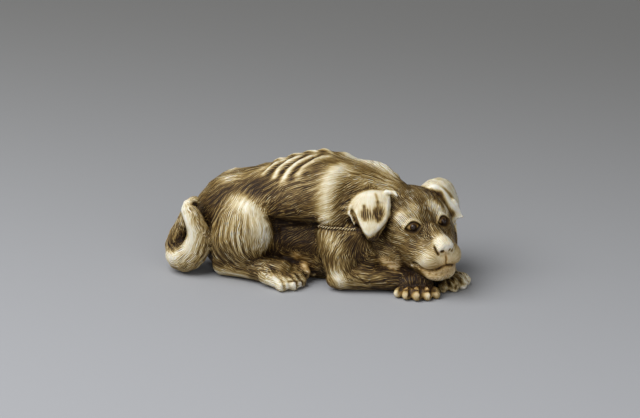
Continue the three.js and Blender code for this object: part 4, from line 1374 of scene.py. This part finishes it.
points_of_cord = RINGS * ROUND
store_finish(cord, np.tile([0, 0, 1.0], (points_of_cord, 1)), np.zeros(points_of_cord),
             {"stain_and_shade": np.array(cord_stain), "fur_depth": np.zeros(points_of_cord),
              "amber": np.full(points_of_cord, 0.3)})
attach(cord, "root")
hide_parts("ivory_puppy")
print("cord:", len(cord.data.polygons), "faces, a turn every", TURN_LENGTH, "mm")

# %% [markdown]
# The pupils are beads of dark horn let into drilled holes. A sphere with enough turns stays round at any
# distance, and its own polish makes the catchlight.

# %% Beads of horn
PUPIL_RADIUS = 0.62
beads = []
for side, node in ((RIGHT, "right_pupil"), (LEFT, "left_pupil")):
    net = bmesh.new()
    bmesh.ops.create_uvsphere(net, u_segments=40, v_segments=24, radius=PUPIL_RADIUS * MM)
    bmesh.ops.translate(net, vec=Vector(to_scene(pupils[side])), verts=net.verts)
    for side_of_bead in net.faces:
        side_of_bead.smooth = True
    bead = piece_from(net, node + "_bead")
    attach(bead, "root")
    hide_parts(node)
    beads.append(bead)
print("beads:", [bead.name for bead in beads])

# %% [markdown]
# A material is a small net of nodes. These helpers add one node each and link what is handed to them, so that
# the recipes below read from top to bottom. `sheet` is the node tree that is being drawn on.


# %% Node helpers
def add(sheet, kind, label="", **settings):
    made = sheet.nodes.new("ShaderNode" + kind)
    made.label = label
    for key, value in settings.items():
        setattr(made, key, value)
    return made


def feed(sheet, socket, value):
    """Links a socket to another's output, or sets it to a plain value."""
    if isinstance(value, bpy.types.NodeSocket):
        sheet.links.new(value, socket)
    else:
        socket.default_value = value


def combine(sheet, operation, a, b, clamp=False):
    made = add(sheet, "Math", operation=operation, use_clamp=clamp)
    feed(sheet, made.inputs[0], a)
    feed(sheet, made.inputs[1], b)
    return made.outputs[0]


def noise(sheet, scale, detail):
    """Cloudy noise that sits still on the piece, with `scale` clouds in a metre."""
    made = add(sheet, "TexNoise")
    feed(sheet, made.inputs["Vector"], add(sheet, "TexCoord").outputs["Object"])
    made.inputs["Scale"].default_value = scale
    made.inputs["Detail"].default_value = detail
    return made


def read(sheet, name, output="Fac"):
    """An attribute that was stored on the mesh."""
    return add(sheet, "Attribute", name, attribute_name=name).outputs[output]


def ramp(sheet, stops, factor, label=""):
    """Colours along a scale from 0 to 1, as (position, colour) stops."""
    made = add(sheet, "ValToRGB", label)
    colours = made.color_ramp.elements
    for element, (position, colour) in zip(colours, (stops[0], stops[-1])):
        element.position, element.color = position, (*colour, 1)
    for position, colour in stops[1:-1]:
        colours.new(position).color = (*colour, 1)
    feed(sheet, made.inputs["Fac"], factor)
    return made.outputs["Color"]


def new_material(name):
    made = bpy.data.materials.new(name)
    made.use_nodes = True
    return made, made.node_tree, made.node_tree.nodes["Principled BSDF"]


print("node helpers ready")

# %% [markdown]
# Engraved fur is drawn by Gabor noise: little packets of parallel waves that turn with the direction they
# are given and never form a seam. A packet is one stroke of the burin, and its waves are the hairs that the
# stroke cuts. The packet and its coordinates are one node group, used below with several lengths.

# %% A group for engraved lines
lines = bpy.data.node_groups.new("engraved lines", "ShaderNodeTree")
for name, kind, usual in (("Across", "NodeSocketVector", None), ("Stroke Length", "NodeSocketFloat", 3.0),
                          ("Lines per Stroke", "NodeSocketFloat", 7.0)):
    socket = lines.interface.new_socket(name=name, in_out="INPUT", socket_type=kind)
    if usual is not None:
        socket.default_value = usual
lines.interface.new_socket(name="Lines", in_out="OUTPUT", socket_type="NodeSocketFloat")

MILLIMETRES_IN_METRE = 1000
DIRECTION_3D = 5  # the Gabor node's socket for a direction in space
given, made = lines.nodes.new("NodeGroupInput"), lines.nodes.new("NodeGroupOutput")
gabor = add(lines, "TexGabor", "strokes", gabor_type="3D")
gabor.inputs["Anisotropy"].default_value = 1
strokes_in_metre = combine(lines, "DIVIDE", MILLIMETRES_IN_METRE, given.outputs["Stroke Length"])
feed(lines, gabor.inputs["Vector"], add(lines, "TexCoord").outputs["Object"])
feed(lines, gabor.inputs["Scale"], strokes_in_metre)
feed(lines, gabor.inputs["Frequency"], given.outputs["Lines per Stroke"])
feed(lines, gabor.inputs[DIRECTION_3D], given.outputs["Across"])
feed(lines, made.inputs["Lines"], gabor.outputs["Value"])
print("group:", lines.name)

# %% [markdown]
# Hair never lies quite straight. A slow noise sways the direction across the fur, and lines of four lengths
# are laid over each other: long locks, coarse hairs on the body, middling ones on the face, and fine ones
# between.

# %% Ivory: the hair lines
SWAY = 1.1
LOCKS_IN_METRE = 420
ivory, bench, shader = new_material("ivory")
sway = add(bench, "VectorMath", "sway", operation="MULTIPLY_ADD")
feed(bench, sway.inputs[0], noise(bench, LOCKS_IN_METRE, 1).outputs["Color"])
sway.inputs[1].default_value = (SWAY,) * 3
sway.inputs[2].default_value = (-SWAY / 2,) * 3
unruly = add(bench, "VectorMath", "unruly hair", operation="ADD")
feed(bench, unruly.inputs[0], read(bench, "across_fur", "Vector"))
feed(bench, unruly.inputs[1], sway.outputs[0])


def hairs_of(length, count, label):
    """Engraved lines in strokes of `length` millimetres, `count` hairs to a stroke."""
    made = add(bench, "Group", label, node_tree=lines)
    made.inputs["Stroke Length"].default_value = length
    made.inputs["Lines per Stroke"].default_value = count
    feed(bench, made.inputs["Across"], unruly.outputs[0])
    return made.outputs["Lines"]


def plus(a, b, clamp=False):
    return combine(bench, "ADD", a, b, clamp)


def minus(a, b):
    return combine(bench, "SUBTRACT", a, b)


def times(a, b):
    return combine(bench, "MULTIPLY", a, b)


coarse = hairs_of(3.0, 7.5, "body hair")
middling = hairs_of(2.5, 7.5, "face hair")
fine = hairs_of(1.7, 7.0, "hair between")
locks = hairs_of(4.5, 4.0, "locks")
fur_depth, of_face = read(bench, "fur_depth"), read(bench, "fine_fur")
longer = plus(times(coarse, minus(1.0, of_face)), times(middling, of_face))
hairs = plus(times(longer, 0.5), times(fine, 0.5))
print("hair lines drawn at four lengths")

# %% [markdown]
# Stain sinks into each hair line, so the darkness at a point is the painted stain and painted shade plus what
# its hairs, its lock and some mottling add. A colour ramp turns that level into ivory, from clean through
# honey to near black.

# %% Ivory: how dark each point is
HAIR_MARK, FACE_HAIR_MARK, LOCK_MARK = 2.0, 0.8, 0.9
MOTTLE, SPECKLE = 0.45, 0.12


def about_middle(value):
    return minus(value, 0.5)


patchy = plus(0.35, times(noise(bench, 330, 2).outputs["Fac"], 1.3))
hair_mark = times(minus(0.5, hairs), times(fur_depth, patchy))
hair_mark = times(hair_mark, plus(HAIR_MARK, times(of_face, FACE_HAIR_MARK)))
lock_mark = times(minus(0.5, locks), fur_depth)
lock_mark = times(lock_mark, minus(1.0, times(of_face, 0.5)))
mottled = times(about_middle(noise(bench, 260, 3).outputs["Fac"]), MOTTLE)
speckled = times(about_middle(noise(bench, 1500, 2).outputs["Fac"]), SPECKLE)
level = plus(read(bench, "stain_and_shade"), hair_mark)
level = plus(level, times(lock_mark, LOCK_MARK))
level = plus(level, mottled)
level = plus(level, speckled, clamp=True)
print("darkness: stain, hairs, locks and mottling")

# %% Ivory: colour
STAIN_AND_SHADE_TONES = [(0.0, (0.90, 0.87, 0.76)), (0.09, (0.84, 0.78, 0.60)), (0.2, (0.72, 0.62, 0.40)),
               (0.42, (0.41, 0.295, 0.115)), (0.64, (0.16, 0.095, 0.024)), (0.84, (0.052, 0.026, 0.005)),
               (1.0, (0.014, 0.005, 0.001))]
HONEY = (0.92, 0.74, 0.50, 1)
COLOUR_A, COLOUR_B, COLOUR_RESULT = 6, 7, 2  # the colour sockets of a Mix node
honey = add(bench, "Mix", "honey tint", data_type="RGBA", blend_type="MULTIPLY")
feed(bench, honey.inputs["Factor"], read(bench, "amber"))
feed(bench, honey.inputs[COLOUR_A], ramp(bench, STAIN_AND_SHADE_TONES, level, "stain on ivory"))
honey.inputs[COLOUR_B].default_value = HONEY
feed(bench, shader.inputs["Base Color"], honey.outputs[COLOUR_RESULT])
print("ivory:", len(STAIN_AND_SHADE_TONES), "tones and a honey tint")

# %% Ivory: polish and relief
HAIR_HEIGHT = 0.00022
POLISHED, DULLING = 0.30, 0.28
dulled = times(level, DULLING)
feed(bench, shader.inputs["Roughness"], plus(POLISHED, dulled))
grain = times(noise(bench, 2500, 2).outputs["Fac"], 0.05)
height = plus(times(about_middle(hairs), fur_depth), grain)
bump = add(bench, "Bump", "hair relief")
bump.inputs["Strength"].default_value = 1.0
bump.inputs["Distance"].default_value = HAIR_HEIGHT
feed(bench, bump.inputs["Height"], height)
feed(bench, shader.inputs["Normal"], bump.outputs["Normal"])
shader.inputs["Specular IOR Level"].default_value = 0.22
shader.inputs["Subsurface Weight"].default_value = 0.12
shader.inputs["Subsurface Radius"].default_value = (1.0, 0.6, 0.3)
shader.inputs["Subsurface Scale"].default_value = 0.0006
puppy.data.materials.clear()
for piece in (puppy, cord):
    piece.data.materials.append(ivory)
print("ivory on", puppy.name, "and", cord.name)

# %% [markdown]
# Horn is nearly black and takes a high polish. A faint streak of brown keeps the beads from looking like
# glass.

# %% Dark horn
horn, bench_of_horn, shader = new_material("dark_horn")
HORN_TONES = [(0.0, (0.006, 0.004, 0.004)), (1.0, (0.05, 0.025, 0.012))]
streaky = noise(bench_of_horn, 1800, 3).outputs["Fac"]
feed(bench_of_horn, shader.inputs["Base Color"], ramp(bench_of_horn, HORN_TONES, streaky, "horn streaks"))
shader.inputs["Roughness"].default_value = 0.08
for bead in beads:
    bead.data.materials.append(horn)
print("horn on", len(beads), "beads")

# %% [markdown]
# The puppy lies on a plain sheet of grey paper that falls off into shade behind it. One soft lamp, high up in
# front and towards the tail, does most of the work, and its reflection makes the ivory look handled.

# %% Floor
bpy.ops.mesh.primitive_plane_add(size=4, location=(0, 0, 0))
table = bpy.context.object
table.name = "table"
PAPER_TONES = [(0.0, (0.19, 0.19, 0.186)), (1.0, (0.43, 0.44, 0.465))]
paper, sheet_of_paper, shader = new_material("grey_paper")
how_far = add(sheet_of_paper, "SeparateXYZ")
feed(sheet_of_paper, how_far.inputs[0], add(sheet_of_paper, "TexCoord").outputs["Object"])
shade = add(sheet_of_paper, "MapRange", "into the shade", interpolation_type="SMOOTHSTEP")
for name, value in (("From Min", -0.10), ("From Max", 0.19), ("To Min", 1.0), ("To Max", 0.0)):
    shade.inputs[name].default_value = value
feed(sheet_of_paper, shade.inputs["Value"], how_far.outputs["Y"])
feed(sheet_of_paper, shader.inputs["Base Color"], ramp(sheet_of_paper, PAPER_TONES, shade.outputs["Result"]))
shader.inputs["Roughness"].default_value = 0.9
table.data.materials.append(paper)
print("floor:", table.name)


# %% Light
def panel(name, stand, size, power, aim=(0, 0, 0.01)):
    """A soft rectangular lamp that looks at the puppy."""
    lamp = bpy.data.lights.new(name, "AREA")
    lamp.shape = "RECTANGLE"
    lamp.size, lamp.size_y = size
    lamp.energy = power
    holder = bpy.data.objects.new(name, lamp)
    holder.location = stand
    holder.rotation_euler = (Vector(aim) - Vector(stand)).to_track_quat("-Z", "Y").to_euler()
    bpy.context.scene.collection.objects.link(holder)


panel("key", (-0.34, -0.26, 0.62), (0.75, 0.75), 7.2)
panel("fill", (0.5, -0.6, 0.3), (0.6, 0.6), 1.2)
world = bpy.data.worlds.new("room")
world.use_nodes = True
backdrop = world.node_tree.nodes["Background"]
backdrop.inputs["Color"].default_value = (0.8, 0.8, 0.8, 1)
backdrop.inputs["Strength"].default_value = 0.17
bpy.context.scene.world = world
bpy.context.scene.view_settings.view_transform = "Standard"
print("lamps: key and fill")

# %% [markdown]
# The camera stands a little to the right and looks down by twenty degrees, from far enough away that the near
# and far paws keep their true sizes.

# %% Camera
AROUND, ABOVE, AWAY = radians(15), radians(20), 0.6
LOOK_AT = Vector((0.00048, -0.00217, 0.01302))
back = Vector((sin(AROUND) * cos(ABOVE), -cos(AROUND) * cos(ABOVE), sin(ABOVE)))
lens = bpy.data.cameras.new("camera")
lens.sensor_width = 36
lens.lens = 184
lens.clip_start = 0.01
camera = bpy.data.objects.new("camera", lens)
camera.location = LOOK_AT + AWAY * back
camera.rotation_euler = (-back).to_track_quat("-Z", "Y").to_euler()
bpy.context.scene.collection.objects.link(camera)
bpy.context.scene.camera = camera
print("camera at", tuple(round(value, 3) for value in camera.location))
